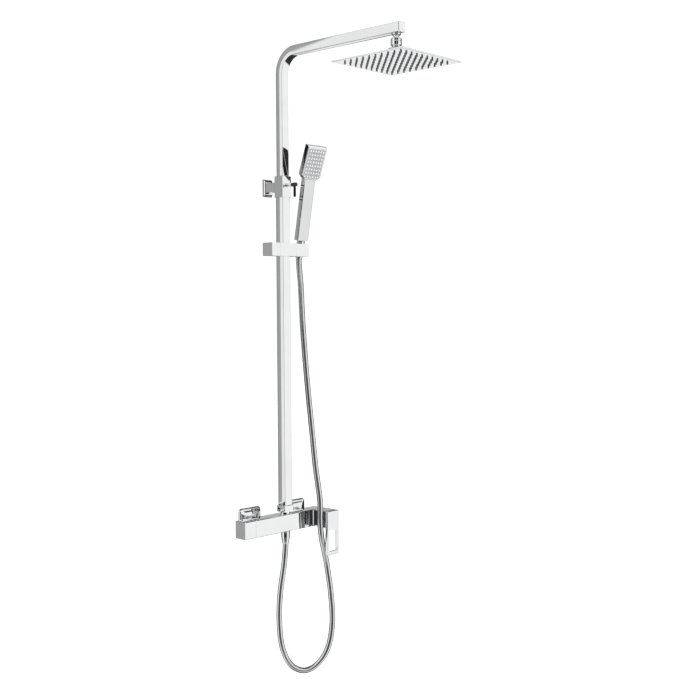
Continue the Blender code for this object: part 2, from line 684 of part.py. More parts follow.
# ---------------------------------------------------------------- mixer
def make_mixer_body(frame):
    """The bar with its valve housing; bores for the cartridges, the riser, the hose and the inlets."""
    half = BAR_DEPTH / 2
    mid = -BAR_HEIGHT / 2
    stub_radius, stub_length = INLET_STUB
    bar = span("mixer_body", (BAR_SEAM + GAP, -half, -BAR_HEIGHT), (BAR_RIGHT, half, 0), CHROME, frame)
    housing = span("valve_housing", (VALVE_LEFT, VALVE_FRONT, -BAR_HEIGHT), (BAR_RIGHT, 0, 0), parent=frame)
    stubs = [cylinder("inlet_stub_" + side, (x, half, mid), stub_radius, 2 * stub_length, (0, 1, 0),
                      parent=frame) for side, x in (("left", -INLET_X), ("right", INLET_X))]
    join(bar, housing)
    soften(bar, BAR_EDGE)
    join(bar, *stubs)
    valve_radius, valve_depth = CARTRIDGE_BORE
    diverter_radius, diverter_depth = DIVERTER_BORE
    port_depth = PORT_DEPTH + 0.002
    bores = [
        cylinder("cartridge_bore", (VALVE_AXIS_X, VALVE_FRONT - EDGE + valve_depth / 2, mid), valve_radius,
                 valve_depth, (0, 1, 0), parent=frame),
        cylinder("diverter_bore", (BAR_SEAM, 0, mid), diverter_radius, 2 * (diverter_depth - EDGE), (1, 0, 0),
                 parent=frame),
        cylinder("waterway_bore", (0, 0, mid), WATERWAY, 2 * VALVE_AXIS_X, (1, 0, 0), parent=frame,
                 sides=BORE_SIDES),
        cylinder("riser_bore", (0, 0, 0), PORT_RADIUS + GAP, 2 * port_depth, parent=frame),
        cylinder("hose_bore", (0, 0, -BAR_HEIGHT), PORT_RADIUS + GAP, 2 * port_depth, parent=frame),
        cylinder("drop_bore", (0, 0, mid), DROP_BORE, BAR_HEIGHT - PORT_DEPTH, parent=frame,
                 sides=BORE_SIDES),
        cylinder("valve_feed", (VALVE_AXIS_X - 0.008, VALVE_FRONT / 4, mid), DROP_BORE, -VALVE_FRONT / 2,
                 (0, 1, 0), parent=frame, sides=BORE_SIDES),
    ]
    for side, x in (("left", -INLET_X), ("right", INLET_X)):
        bores.append(cylinder("inlet_bore_" + side, (x, half, mid), WATERWAY + EDGE, 2 * half, (0, 1, 0),
                              parent=frame, sides=BORE_SIDES))
    cut(bar, *bores)


def make_valve(frame, turn_frame, lever_frame):
    """Cartridge and its nut in the housing, the spindle that turns, and the loop lever on it."""
    mid = -BAR_HEIGHT / 2
    back = VALVE_FRONT + CARTRIDGE_BORE[1] - 3 * EDGE
    front = back - CARTRIDGE_LENGTH
    cylinder("mixing_cartridge", (VALVE_AXIS_X, (front + back) / 2, mid), CARTRIDGE_RADIUS,
             CARTRIDGE_LENGTH, (0, 1, 0), PLASTIC, frame)
    nut_front, nut_back = VALVE_FRONT + EDGE, front - GAP
    outer, inner = CARTRIDGE_NUT
    ring("cartridge_nut", (VALVE_AXIS_X, (nut_front + nut_back) / 2, mid), outer, inner,
         nut_back - nut_front, (0, 1, 0), BRASS, frame)
    foot = VALVE_FRONT - (front - GAP)
    tip = VALVE_FRONT - LEVER_BACK + 0.0035
    flange = foot + 0.002
    profile = ((0, tip), (SPINDLE_RADIUS - FINE_EDGE, tip), (SPINDLE_RADIUS, tip - FINE_EDGE),
               (SPINDLE_RADIUS, flange), (SPINDLE_FLANGE, flange), (SPINDLE_FLANGE, foot), (0, foot))
    turned("cartridge_spindle", (0, 0, 0), profile, (0, -1, 0), BRASS, turn_frame, steps=BORE_SIDES)
    make_lever(lever_frame)


def make_lever(frame):
    """A flat plate with a slot in its lower half; its frame is at the top of its back face."""
    width, depth, height = LEVER_SIZE
    lever = span("mixer_lever", (-width / 2, -depth, -height), (width / 2, 0, 0), CHROME, frame,
                 edge=LEVER_EDGE)
    slot_half, slot_height = SLOT_SIZE[0] / 2, SLOT_SIZE[1]
    slot = span("lever_slot", (-slot_half, -2 * depth, SLOT_BOTTOM),
                (slot_half, depth, SLOT_BOTTOM + slot_height), parent=frame, edge=LEVER_EDGE)
    mid = -BAR_HEIGHT / 2
    socket = cylinder("lever_socket", (0, 0, mid), SPINDLE_FLANGE + EDGE, 2 * (0.0035 + 7 * GAP), (0, 1, 0),
                      parent=frame)
    screw_radius, screw_length = 0.0020, 0.0090
    screw_hole = cylinder("lever_screw_hole", (0, -LEVER_DEPTH_AXIS, 0), screw_radius + GAP,
                          2 * (screw_length + EDGE), (0, 0, 1), parent=frame, sides=SCREW_SIDES)
    cut(lever, slot, socket, screw_hole)
    cylinder("lever_screw", (0, -LEVER_DEPTH_AXIS, -EDGE - screw_length / 2), screw_radius, screw_length,
             (0, 0, 1), STEEL, frame, sides=SCREW_SIDES)


def make_diverter(frame, knob_frame):
    """The square knob on the bar's left end, its spindle and the valve in the bar."""
    mid = -BAR_HEIGHT / 2
    head = 0.0014
    cylinder("diverter_cartridge", (BAR_SEAM + head + GAP + DIVERTER_LENGTH / 2, 0, mid), DIVERTER_RADIUS,
             DIVERTER_LENGTH, (1, 0, 0), PLASTIC, frame)
    length = BAR_SEAM - BAR_LEFT
    knob = span("diverter_knob", (0, -BAR_DEPTH / 2, mid), (length, BAR_DEPTH / 2, -mid),
                CHROME, knob_frame, edge=BAR_EDGE)
    spindle_radius, spindle_head, spindle_depth = 0.0052, 0.0085, 0.0165
    screw_radius, screw_length, screw_inset = 0.0018, 0.0100, 0.010
    socket = cylinder("knob_socket", (length, 0, 0), spindle_radius + 0.0004, 2 * (spindle_depth + GAP),
                      (1, 0, 0), parent=knob_frame, sides=BORE_SIDES)
    hole = cylinder("knob_screw_hole", (length - screw_inset, 0, mid / 2), screw_radius + GAP, -mid,
                    (0, 0, 1), parent=knob_frame, sides=SCREW_SIDES)
    cut(knob, socket, hole)
    profile = ((0, length + head), (spindle_head, length + head), (spindle_head, length + GAP),
               (spindle_radius, length + GAP), (spindle_radius, length - spindle_depth),
               (0, length - spindle_depth))
    turned("diverter_spindle", (0, 0, 0), profile, (1, 0, 0), BRASS, knob_frame, steps=BORE_SIDES)
    screw_top = -spindle_radius - 0.0008
    cylinder("knob_screw", (length - screw_inset, 0, screw_top - screw_length / 2), screw_radius,
             screw_length, (0, 0, 1), STEEL, knob_frame, sides=SCREW_SIDES)


def make_inlet(side, sign, frame):
    """One water inlet: union nut, washer, eccentric union and the square rosette on the wall."""
    mid = -BAR_HEIGHT / 2
    wall = -RISER_Y
    bar_x = sign * INLET_X
    wall_x = bar_x + UNION_SHIFT
    wall_mid = mid + UNION_RISE
    stub_radius, stub_length = INLET_STUB
    face = BAR_DEPTH / 2 + stub_length
    ring("inlet_washer_" + side, (bar_x, face + GAP + WASHER_THICKNESS / 2, mid), stub_radius - 0.0005,
         WATERWAY + EDGE, WASHER_THICKNESS, (0, 1, 0), SEAL_RUBBER, frame)
    flange = face + WASHER_THICKNESS + 2 * GAP
    flange_depth = 0.0022
    nut_low, nut_high = BAR_DEPTH / 2 + GAP, flange + 0.0060
    nut = cylinder("union_nut_" + side, (bar_x, (nut_low + nut_high) / 2, mid), UNION_NUT_RADIUS,
                   nut_high - nut_low, (0, 1, 0), CHROME, frame, sides=HEX_SIDES)
    thread_end = flange + flange_depth + GAP
    wide = cylinder("nut_thread_" + side, (bar_x, thread_end - 0.020, mid), stub_radius + GAP, 0.040,
                    (0, 1, 0), parent=frame)
    narrow = cylinder("nut_mouth_" + side, (bar_x, nut_high, mid), UNION_NECK_RADIUS + 0.0004, 0.020,
                      (0, 1, 0), parent=frame)
    cut(nut, wide, narrow)
    union = cylinder("s_union_" + side, (bar_x, flange + flange_depth / 2, mid), stub_radius - GAP,
                     flange_depth, (0, 1, 0), CHROME, frame)
    shoulder = nut_high + 0.0008
    elbow_end = wall - ROSETTE_DEPTH - 2 * GAP
    neck = cylinder("union_neck_" + side, (bar_x, (flange + elbow_end) / 2, mid), UNION_NECK_RADIUS,
                    elbow_end - flange, (0, 1, 0), parent=frame)
    elbow = span("union_elbow_" + side, (bar_x - UNION_NECK_RADIUS, shoulder, mid - UNION_NECK_RADIUS),
                 (wall_x + UNION_NECK_RADIUS, elbow_end, wall_mid + UNION_NECK_RADIUS), parent=frame)
    tail_start, tail_end = elbow_end - 0.003, wall + UNION_TAIL
    tail = cylinder("union_tail_" + side, (wall_x, (tail_start + tail_end) / 2, wall_mid),
                    UNION_TAIL_RADIUS, tail_end - tail_start, (0, 1, 0), parent=frame)
    join(union, neck, elbow, tail)
    middle = (shoulder + elbow_end) / 2
    bore_front = cylinder("union_bore_front_" + side, (bar_x, middle - 0.010, mid), UNION_BORE, 0.024,
                          (0, 1, 0), parent=frame, sides=BORE_SIDES)
    bore_back = cylinder("union_bore_back_" + side, (wall_x, middle + 0.018, wall_mid), UNION_BORE, 0.040,
                         (0, 1, 0), parent=frame, sides=BORE_SIDES)
    cut(union, bore_front, bore_back)
    half = ROSETTE_SIDE / 2
    rosette = span("rosette_" + side, (wall_x - half, wall - ROSETTE_DEPTH, wall_mid - half),
                   (wall_x + half, wall - GAP, wall_mid + half), CHROME, frame)
    trim_edges(rosette, lambda middle, along: abs(along.y) > 0.9, ROSETTE_CORNER, 4)
    soften(rosette, 2 * EDGE)
    hole = cylinder("rosette_hole_" + side, (wall_x, wall, wall_mid), UNION_TAIL_RADIUS + GAP, THROUGH,
                    (0, 1, 0), parent=frame)
    cut(rosette, hole)


def make_riser_joint(frame):
    """Nipple, seal and the square nut between the bar and the lower tube."""
    spigot = LOWER_TUBE / 2 - TUBE_WALL - 2 * GAP
    flange, spigot_top = 0.0115, 0.0160
    profile = ((spigot, spigot_top), (spigot, RISER_NECK_TOP), (flange, RISER_NECK_TOP), (flange, GAP),
               (PORT_RADIUS, GAP), (PORT_RADIUS, -PORT_DEPTH), (DROP_BORE, -PORT_DEPTH),
               (DROP_BORE, spigot_top))
    turned("riser_neck", (0, 0, 0), profile, material=CHROME, parent=frame)
    washer = EDGE
    ring("riser_washer", (0, 0, RISER_NECK_TOP + GAP + washer / 2), flange - GAP, spigot + GAP, washer,
         material=SEAL_RUBBER, parent=frame)
    side = RISER_NUT_SIDE / 2
    nut = span("riser_nut", (-side, -side, RISER_NUT_FOOT), (side, side, RISER_NUT_TOP), CHROME, frame,
               edge=EDGE)
    neck_hole = cylinder("nut_neck_hole", (0, 0, 0), flange + GAP, THROUGH, parent=frame)
    socket = LOWER_TUBE / 2 + GAP
    tube_hole = span("nut_tube_hole", (-socket, -socket, RISER_NECK_TOP), (socket, socket, THROUGH),
                     parent=frame)
    cut(nut, neck_hole, tube_hole)


def make_outlet(frame):
    """Threaded nipple under the bar, its washer and the hose's conical nut."""
    under = -BAR_HEIGHT
    thread, bore, washer = 0.0086, 0.0045, 0.0014
    nipple_foot = under - PORT_DEPTH
    profile = ((PORT_RADIUS, under + PORT_DEPTH), (PORT_RADIUS, under - GAP), (thread, under - GAP),
               (thread, nipple_foot), (bore, nipple_foot), (bore, under + PORT_DEPTH))
    turned("outlet_nipple", (0, 0, 0), profile, material=BRASS, parent=frame)
    ring("outlet_washer", (0, 0, nipple_foot - GAP - washer / 2), thread, bore, washer,
         material=SEAL_RUBBER, parent=frame)
    foot = under - OUTLET_NUT_LENGTH
    shelf = nipple_foot - 2 * GAP - washer
    nut_radius, mouth, throat = 0.0106, thread + 0.0004, 0.0040
    nut_top = under - 0.0008
    profile = ((nut_radius, nut_top), (nut_radius, nut_top - OUTLET_NUT_LENGTH / 2),
               (HOSE_RADIUS + FINE_EDGE, foot), (throat, foot), (throat, shelf), (mouth, shelf),
               (mouth, nut_top))
    turned("hose_nut_lower", (0, 0, 0), profile, material=CHROME, parent=frame)


# ---------------------------------------------------------------- slider and holder
def make_slider(frame):
    """Block round the riser with a plastic liner, and a clamp pad that its knob pushes."""
    half_height = SLIDER_HEIGHT / 2
    body = span("slider_body", (KNOB_SEAM + GAP, SLIDER_FRONT, -half_height),
                (HOLDER_SEAM - GAP, SLIDER_BACK, half_height), CHROME, frame, edge=EDGE)
    bore = LOWER_TUBE / 2 + GAP
    outer = bore + LINER_WALL
    hole_side = 2 * (outer + GAP)
    hole = block("slider_bore", (0, 0, 0), (hole_side, hole_side, THROUGH), parent=frame)
    clamp_hole = cylinder("clamp_hole", (KNOB_SEAM, 0, 0), CLAMP_SCREW_RADIUS + 3 * GAP, 0.030, (1, 0, 0),
                          parent=frame, sides=BORE_SIDES)
    pin_hole = cylinder("holder_pin_hole", (HOLDER_SEAM, 0, 0), HOLDER_PIN_RADIUS + 2 * GAP, 0.016,
                        (1, 0, 0), parent=frame, sides=BORE_SIDES)
    cut(body, hole, clamp_hole, pin_hole)
    sleeve = block("slider_sleeve", (0, 0, 0), (2 * outer, 2 * outer, SLIDER_HEIGHT - EDGE), PLASTIC, frame)
    sleeve_bore = block("sleeve_bore", (0, 0, 0), (2 * bore, 2 * bore, THROUGH), parent=frame)
    pad_hole = cylinder("sleeve_pad_hole", (-outer, 0, 0), CLAMP_PAD_RADIUS + GAP, 0.012, (1, 0, 0),
                        parent=frame, sides=BORE_SIDES)
    cut(sleeve, sleeve_bore, pad_hole)
    cylinder("clamp_pad", (-bore - CLAMP_PAD_DEPTH / 2, 0, 0), CLAMP_PAD_RADIUS, CLAMP_PAD_DEPTH, (1, 0, 0),
             SEAL_RUBBER, frame, sides=BORE_SIDES)


def make_slider_knob(frame):
    """Square knob and the screw in it, both about the clamp axis."""
    half_height = SLIDER_HEIGHT / 2
    knob = span("slider_knob", (KNOB_LEFT, SLIDER_FRONT, -half_height),
                (KNOB_SEAM, SLIDER_BACK, half_height), CHROME, frame, edge=EDGE)
    depth = 0.012
    socket = cylinder("clamp_screw_socket", (KNOB_SEAM, 0, 0), CLAMP_SCREW_RADIUS + GAP, 2 * depth,
                      (1, 0, 0), parent=frame, sides=BORE_SIDES)
    cut(knob, socket)
    start = KNOB_SEAM - depth + GAP
    end = -LOWER_TUBE / 2 - 2 * GAP - CLAMP_PAD_DEPTH
    cylinder("clamp_screw", ((start + end) / 2, 0, 0), CLAMP_SCREW_RADIUS, end - start, (1, 0, 0), BRASS,
             frame, sides=BORE_SIDES)


def make_holder(frame):
    """Block with a conical cradle for the handset, open at the back so that the hose comes out."""
    half_height = SLIDER_HEIGHT / 2
    holder = span("handset_holder", (HOLDER_SEAM, SLIDER_FRONT, -half_height),
                  (HOLDER_RIGHT, SLIDER_BACK, half_height), CHROME, frame, edge=EDGE)
    taper = (CONE_TOP_RADIUS - CONE_FOOT_RADIUS) / CONE_LENGTH
    reach = 0.045
    middle_radius = (CONE_TOP_RADIUS + CONE_FOOT_RADIUS) / 2 + 2 * GAP
    lean_frame = empty("cradle_frame", (HANDSET_X, HANDSET_Y, half_height), frame, HANDSET_LEAN)
    cradle = cylinder("holder_cradle", (0, 0, -CONE_LENGTH / 2), middle_radius - taper * reach / 2, reach,
                      parent=lean_frame, end_radius=middle_radius + taper * reach / 2)
    slot_half = HOSE_RADIUS + 2 * GAP
    slot = span("holder_slot", (-slot_half, 0, -THROUGH), (slot_half, HOLDER_RIGHT, THROUGH / 2),
                parent=lean_frame)
    pin_hole = cylinder("holder_pin_socket", (HOLDER_SEAM, 0, 0), HOLDER_PIN_RADIUS + GAP, 0.012, (1, 0, 0),
                        parent=frame, sides=BORE_SIDES)
    cut(holder, cradle, slot, pin_hole)
    cylinder("holder_pin", (HOLDER_SEAM - 0.0005, 0, 0), HOLDER_PIN_RADIUS, 0.0120, (1, 0, 0), STEEL, frame,
             sides=BORE_SIDES)


# ---------------------------------------------------------------- handset and hose
def make_handset(frame):
    """Handle and head in one shell, the mat and face in the head, and the threaded foot."""
    handle_x, handle_y = HANDLE_SIZE
    handle_top = HANDLE_FOOT + HANDLE_LENGTH
    shell = block("handset_shell", (0, 0, (HANDLE_FOOT + handle_top) / 2),
                  (handle_x, handle_y, HANDLE_LENGTH), CHROME, frame, edge=HANDLE_EDGE)
    head_frame = empty("handset_head_frame", (0, handle_y / 2, handle_top - 0.006), frame, HEAD_LEAN)
    head_x, head_y, head_z = HANDSET_HEAD
    head = block("handset_head", (0, -head_y / 2, head_z / 2), HANDSET_HEAD, parent=head_frame)
    trim_edges(head, lambda middle, along: abs(along.y) > 0.9 and middle.z < 0, HEAD_SHOULDER)
    trim_edges(head, lambda middle, along: abs(along.x) > 0.9 and middle.z > 0 > middle.y, HEAD_BROW)
    soften(head, EDGE)
    join(shell, head)
    pocket_x, pocket_y, pocket_z = HANDSET_POCKET
    pocket = block("head_pocket", (0, -head_y, POCKET_MIDDLE), (pocket_x, 2 * pocket_y, pocket_z),
                   parent=head_frame)
    bore_foot, bore_top = -0.015, handle_top + 0.0105
    waterway = cylinder("handle_waterway", (0, 0, (bore_foot + bore_top) / 2), HANDLE_BORE,
                        bore_top - bore_foot, parent=frame, sides=SCREW_SIDES)
    inner, outer = NIPPLE_RADII
    foot_socket = cylinder("foot_socket", (0, 0, HANDLE_FOOT), inner + GAP, 0.020, parent=frame,
                           sides=BORE_SIDES)
    cut(shell, pocket, waterway, foot_socket)
    make_handset_face(head_frame, head_y)
    nipple_top, nipple_step, nipple_foot = HANDLE_FOOT + 0.0095, HANDLE_FOOT - EDGE, HANDLE_FOOT - 0.0105
    throat = 0.0040
    profile = ((inner, nipple_top), (inner, nipple_step), (outer, nipple_step), (outer, nipple_foot),
               (throat, nipple_foot), (throat, nipple_top))
    turned("handset_nipple", (0, 0, 0), profile, material=BRASS, parent=frame)


def make_handset_face(frame, head_y):
    """Perforated face flush in the head's front, with the nozzle mat behind it."""
    pocket_x, pocket_y, pocket_z = HANDSET_POCKET
    width, height = pocket_x - 2 * GAP, pocket_z - 2 * GAP
    grid = nozzle_grid(HAND_COLUMNS, HAND_ROWS, *HAND_PITCH)
    face = block("handset_face", (0, -head_y + HAND_FACE_THICKNESS / 2, POCKET_MIDDLE),
                 (width, HAND_FACE_THICKNESS, height), CHROME, frame)
    holes = peg_field("hand_face_holes", grid, (0, -head_y, POCKET_MIDDLE), HAND_NOZZLE_RADIUS + GAP,
                      4 * HAND_FACE_THICKNESS, frame)
    holes.rotation_euler = turn_to((0, 1, 0))
    cut(face, holes)
    mat_front = -head_y + HAND_FACE_THICKNESS + GAP
    mat_middle = mat_front + HAND_MAT_THICKNESS / 2
    mat = block("handset_nozzle_mat", (0, mat_middle, POCKET_MIDDLE),
                (width - 2 * EDGE, HAND_MAT_THICKNESS, height - 2 * EDGE), PALE_RUBBER, frame)
    peg_tip = -head_y - HAND_NOZZLE_REACH
    pegs = peg_field("hand_mat_nozzles", grid, (0, (mat_middle + peg_tip) / 2, POCKET_MIDDLE),
                     HAND_NOZZLE_RADIUS, mat_middle - peg_tip, frame)
    pegs.rotation_euler = turn_to((0, 1, 0))
    join(mat, pegs)


def make_upper_hose_nut(frame):
    """The conical nut that stands in the holder and carries the handset."""
    top = HANDLE_FOOT - EDGE - GAP
    shelf = HANDLE_FOOT - 0.0125
    throat, mouth = 0.0040, NIPPLE_RADII[1] + 0.0004
    profile = ((CONE_TOP_RADIUS, top), (CONE_TOP_RADIUS, 0.0), (CONE_FOOT_RADIUS, -CONE_LENGTH),
               (throat, -CONE_LENGTH), (throat, shelf), (mouth, shelf), (mouth, top))
    turned("hose_nut_upper", (0, 0, 0), profile, material=CHROME, parent=frame)


def smooth_route(points, spacing):
    """Points at an even spacing along a Catmull-Rom curve through the given ones."""
    ends = [2 * points[0] - points[1], *points, 2 * points[-1] - points[-2]]
    fine = []
    for before, start, end, after in zip(ends, ends[1:], ends[2:], ends[3:]):
        for step in range(24):
            t = step / 24
            fine.append(0.5 * (2 * start + (end - before) * t
                               + (2 * before - 5 * start + 4 * end - after) * t ** 2
                               + (3 * start - before - 3 * end + after) * t ** 3))
    fine.append(points[-1])
    length = sum((b - a).length for a, b in zip(fine, fine[1:]))
    count = round(length / spacing)
    even, travelled, wanted = [fine[0]], 0.0, length / count
    for a, b in zip(fine, fine[1:]):
        step = (b - a).length
        while travelled + step >= wanted - 1e-9 and len(even) < count:
            even.append(a.lerp(b, (wanted - travelled) / step))
            wanted += length / count
        travelled += step
    return even + [fine[-1]]


def hose_points(frame_location, cone_frame):
    """The hose's centreline in the world, from the handset's nut to the outlet's nut."""
    axis = cone_frame.to_3x3() @ Vector((0, 0, -1))
    start = cone_frame @ Vector((0, 0, -CONE_LENGTH - GAP))
    end = frame_location + Vector((0, 0, -BAR_HEIGHT - OUTLET_NUT_LENGTH - GAP))
    square_start = start + axis * HOSE_END_STRAIGHT
    square_end = end - Vector((0, 0, HOSE_END_STRAIGHT))
    route = [frame_location + Vector(point) for point in HOSE_ROUTE]
    return [start, *smooth_route([square_start, *route, square_end], HOSE_POINT_SPACING), end]


def make_hose(points):
    """The free hose, one plain tube along its settled route."""
    curve = bpy.data.curves.new("shower_hose", "CURVE")
    curve.dimensions = "3D"
    curve.bevel_depth = HOSE_RADIUS
    curve.bevel_resolution = 2
    curve.use_fill_caps = True
    curve.materials.append(STEEL)
    spline = curve.splines.new("POLY")
    spline.points.add(len(points) - 1)
    for target, point in zip(spline.points, points):
        target.co = (*point, 1.0)
    hose = bpy.data.objects.new("shower_hose", curve)
    PARTS.objects.link(hose)


# ---------------------------------------------------------------- assembly
def build():
    make_bracket()
    make_lower_tube()

    tube_frame = empty("upper_tube_frame", (0, RISER_Y, 0))
    make_upper_tube(tube_frame)
    make_arm_end_cap(tube_frame)
    make_tube_plug(tube_frame)
    make_swivel(tube_frame)
    swivel_frame = empty("swivel_frame", (0, -HEAD_REACH, BALL_CENTRE_Z), tube_frame)
    make_swivel_nut(swivel_frame)
    make_rain_head(swivel_frame)

    mid = -BAR_HEIGHT / 2
    mixer_frame = empty("mixer_frame", (0, RISER_Y, MIXER_TOP))
    turn_frame = empty("lever_turn_frame", (VALVE_AXIS_X, VALVE_FRONT, mid), mixer_frame)
    lever_frame = empty("lever_lift_frame", (0, LEVER_BACK - VALVE_FRONT, -mid), turn_frame)
    knob_frame = empty("diverter_frame", (BAR_LEFT, 0, mid), mixer_frame)
    make_mixer_body(mixer_frame)
    make_valve(mixer_frame, turn_frame, lever_frame)
    make_diverter(mixer_frame, knob_frame)
    make_inlet("left", -1, mixer_frame)
    make_inlet("right", 1, mixer_frame)
    make_riser_joint(mixer_frame)
    make_outlet(mixer_frame)

    slider_frame = empty("slider_frame", (0, RISER_Y, SLIDER_Z))
    make_slider(slider_frame)
    make_slider_knob(slider_frame)
    make_holder(slider_frame)
    cone_frame = empty("hose_cone_frame", (HANDSET_X, HANDSET_Y, SLIDER_HEIGHT / 2), slider_frame,
                       HANDSET_LEAN)
    handset_frame = empty("handset_frame", (0, 0, 0), cone_frame)
    handset_frame.rotation_euler.z = HANDSET_TURN
    make_handset(handset_frame)
    make_upper_hose_nut(handset_frame)
    bpy.context.view_layer.update()
    make_hose(hose_points(mixer_frame.matrix_world.translation, handset_frame.matrix_world))
    bpy.context.view_layer.update()


build()
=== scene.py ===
"""Looks of the square shower column: polished chrome, detailed nozzles, a wound metal hose.

Metres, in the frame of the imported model: the wall is y = 0, the column stands on its -Y side.
"""

import json
from math import cos, degrees, pi, radians, sin

import bmesh
import bpy
from mathutils import Matrix, Vector


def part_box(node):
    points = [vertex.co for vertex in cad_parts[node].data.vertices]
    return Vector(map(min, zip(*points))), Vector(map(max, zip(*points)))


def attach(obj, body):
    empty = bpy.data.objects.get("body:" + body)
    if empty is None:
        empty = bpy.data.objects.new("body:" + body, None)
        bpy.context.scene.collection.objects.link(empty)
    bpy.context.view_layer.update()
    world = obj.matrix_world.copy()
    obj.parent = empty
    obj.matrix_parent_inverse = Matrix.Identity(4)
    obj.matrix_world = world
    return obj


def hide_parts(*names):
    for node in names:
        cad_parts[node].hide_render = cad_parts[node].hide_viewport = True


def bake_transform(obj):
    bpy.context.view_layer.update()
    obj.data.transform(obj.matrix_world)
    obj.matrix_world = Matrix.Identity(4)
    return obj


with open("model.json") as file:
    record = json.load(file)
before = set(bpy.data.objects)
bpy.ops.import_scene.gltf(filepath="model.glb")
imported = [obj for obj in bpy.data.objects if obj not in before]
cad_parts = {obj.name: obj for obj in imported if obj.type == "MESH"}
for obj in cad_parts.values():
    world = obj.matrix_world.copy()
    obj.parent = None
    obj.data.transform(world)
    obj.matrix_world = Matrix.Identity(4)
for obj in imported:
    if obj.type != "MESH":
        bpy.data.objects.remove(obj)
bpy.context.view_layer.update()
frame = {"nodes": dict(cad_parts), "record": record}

# ---------------------------------------------------------------- sizes and places
GAP = 0.0003                         # kept between pieces that touch

CAMERA_PLACE = (-1.8877, -1.9903, -0.2827)
CAMERA_HEADING = radians(-47.54)     # turned from +Y towards +X
CAMERA_PITCH = radians(-2.14)
CAMERA_ROLL = radians(-0.34)
CAMERA_LENS = 58.5
CAMERA_SENSOR = 36.0

FLOOR_Z = -1.80                      # the mixer hangs about a metre above the floor
FLOOR_SIDE = 40.0
FLOOR_GLOW = 0.9

STUDIO_LEVEL = 0.93
BACKDROP_LEVEL = 1.1
STUDIO_CARDS = (                     # each as make_world describes; a later one lies over the earlier ones
    (-180, 180, 52, 82, 4.0, 0.05),      # black ring overhead: upper edges
    (-180, 180, -86, -60, 4.0, 0.05),    # black ring underneath: lower edges
    (-30, 104, 37, 60, 3.0, 0.03),       # black, behind and higher: bevelled upper edges
    (-30, 104, -64, -37, 3.0, 0.03),     # black, behind and lower: bevelled lower edges
    (-72, -22, 16.5, 27, 1.5, 0.02),     # black, higher: tops of the wall plates
    (126, 135.5, -40, 40, 0.5, 0.36),    # mid grey, left: the pipe's left side
    (135.7, 152, -15, 35, 0.8, 0.85),    # pale, beyond it: the arm's left side
    (50, 127, -40, 40, 3.5, 0.14),       # dark grey, behind: left edges of what is round
    (66, 121, 0, 34, 2.0, 0.32),         # grey in it: the handset's left side
    (-178, -98, -40, 22, 4.0, 0.015),    # black, behind the camera: the middle of what is round
    (-139, -131, -40, 22, 1.2, 0.42),    # grey slit in it: level and upright faces seen from the sides
    (-147, -122, -13.2, -9.3, 0.8, 0.03),  # black again across the slit: the valve housing's corner
    (-30, 62, -40, 40, 3.0, 0.03),       # black, right and behind: right edges of what is round
    (41, 49, -40, 0, 1.2, 0.55),         # grey slit in it: upright faces seen from the sides
    (40, 60, -7, 15, 1.2, 0.45),         # grey slot in it: level tops
    (32, 44, -16, -10.8, 0.6, 0.88),     # pale foot of the slot: the rain head's underside
    (33, 48, 23, 35, 1.0, 0.80),         # pale head of the slot: the handset's top
    (-84, -60, -50, -8, 3.0, 0.80),      # light grey, low in front: the leaning handset
)

SHARP_ANGLE = radians(35.0)          # edges sharper than this stay sharp
ROUND_STEPS = 56                     # sides of a turned piece
CORNER_STEPS = 6                     # facets of a rectangle's rounded corner
EASE_STEPS = 4                       # facets of an outline's eased corner
EASE_SHARE = 0.45                    # the most that an eased corner takes of an edge

BEND_RADIUS = 0.050                  # centreline radius of the rain arm's bend
BEND_STEPS = 40
TUBE_WALL = 0.0008
TUBE_CORNER = 0.0009

EDGE_STEPS = 8                       # facets of a wall plate's rim and of its face
PLATE_SWELL = 0.0045                 # how far a wall plate's face stands out towards its hole
ROSETTE_CORNER = 0.0085
ROSETTE_EDGE = 0.0045
UNION_TAIL = 0.0100                  # radius of the union where it enters the rosette
COVER_CORNER = 0.0022
COVER_EDGE = 0.0020
COVER_HOLE_CORNER = 0.0005

BALL_HEIGHT = 0.2875                 # the ball joint's middle; its profiles start from here
BALL_RADIUS = 0.0068
BALL_ARC = (50, -67)                 # degrees up from level, from the neck to the bore
BALL_STEPS = 24
BALL_BORE = 0.0020
BALL_NECK = 0.0056
STEM_RADIUS = 0.0062                 # inside the arm
STEM_BORE = 0.0035
STEM_RISE = 0.005
COLLAR_RADIUS = 0.0102
COLLAR_DEPTH = 0.0045
NUT_RADIUS = 0.0122
NUT_BORE = 0.0072
NUT_TOP = 0.0055
NUT_FOOT = -0.0110
BAND_RADIUS = 0.0103                 # slip ring under the nut
BAND_TOP = -0.0113
BAND_FOOT = -0.0143
HUB_BORE = 0.0030
HUB_TOP = -0.0146
HUB_NECK = 0.0080
HUB_SHOULDER = 0.0176
HUB_FOOT = 0.0190

SCREW_SHANK = 0.0037
SCREW_NECK = 0.0030                  # between the screw's shank and its head
SCREW_HEAD_SHARE = 3                 # the head's length in radii
STICK_COLLAR_DROP = 0.0051           # from the screw's axis down to the handle's wider part
STICK_STEP = 0.0006
SCREW_EASE = 0.0012

NOZZLE_ROWS = 10
NOZZLE_PITCH = 0.0174
NOZZLE_SIDES = 14
NOZZLE_RADIUS = 0.0020
NOZZLE_TIP = 0.0015
NOZZLE_TAPER = 0.0016
NOZZLE_HOLE = 0.0008
DIMPLE_DEPTH = 0.0005
MAT_THICKNESS = 0.0006
HAND_COLUMNS = 6
HAND_ROWS = 8
HAND_PITCH = (0.0072, 0.0088)
HAND_MAT = (0.0419, 0.0010, 0.0674)
HAND_MAT_DEPTH = 0.0020              # from the head's front to the mat's middle
HAND_NOZZLE_RADIUS = 0.0023
HAND_NOZZLE_REACH = 0.0033
HAND_NOZZLE_STRETCH = 1.3            # its ovals are taller than wide

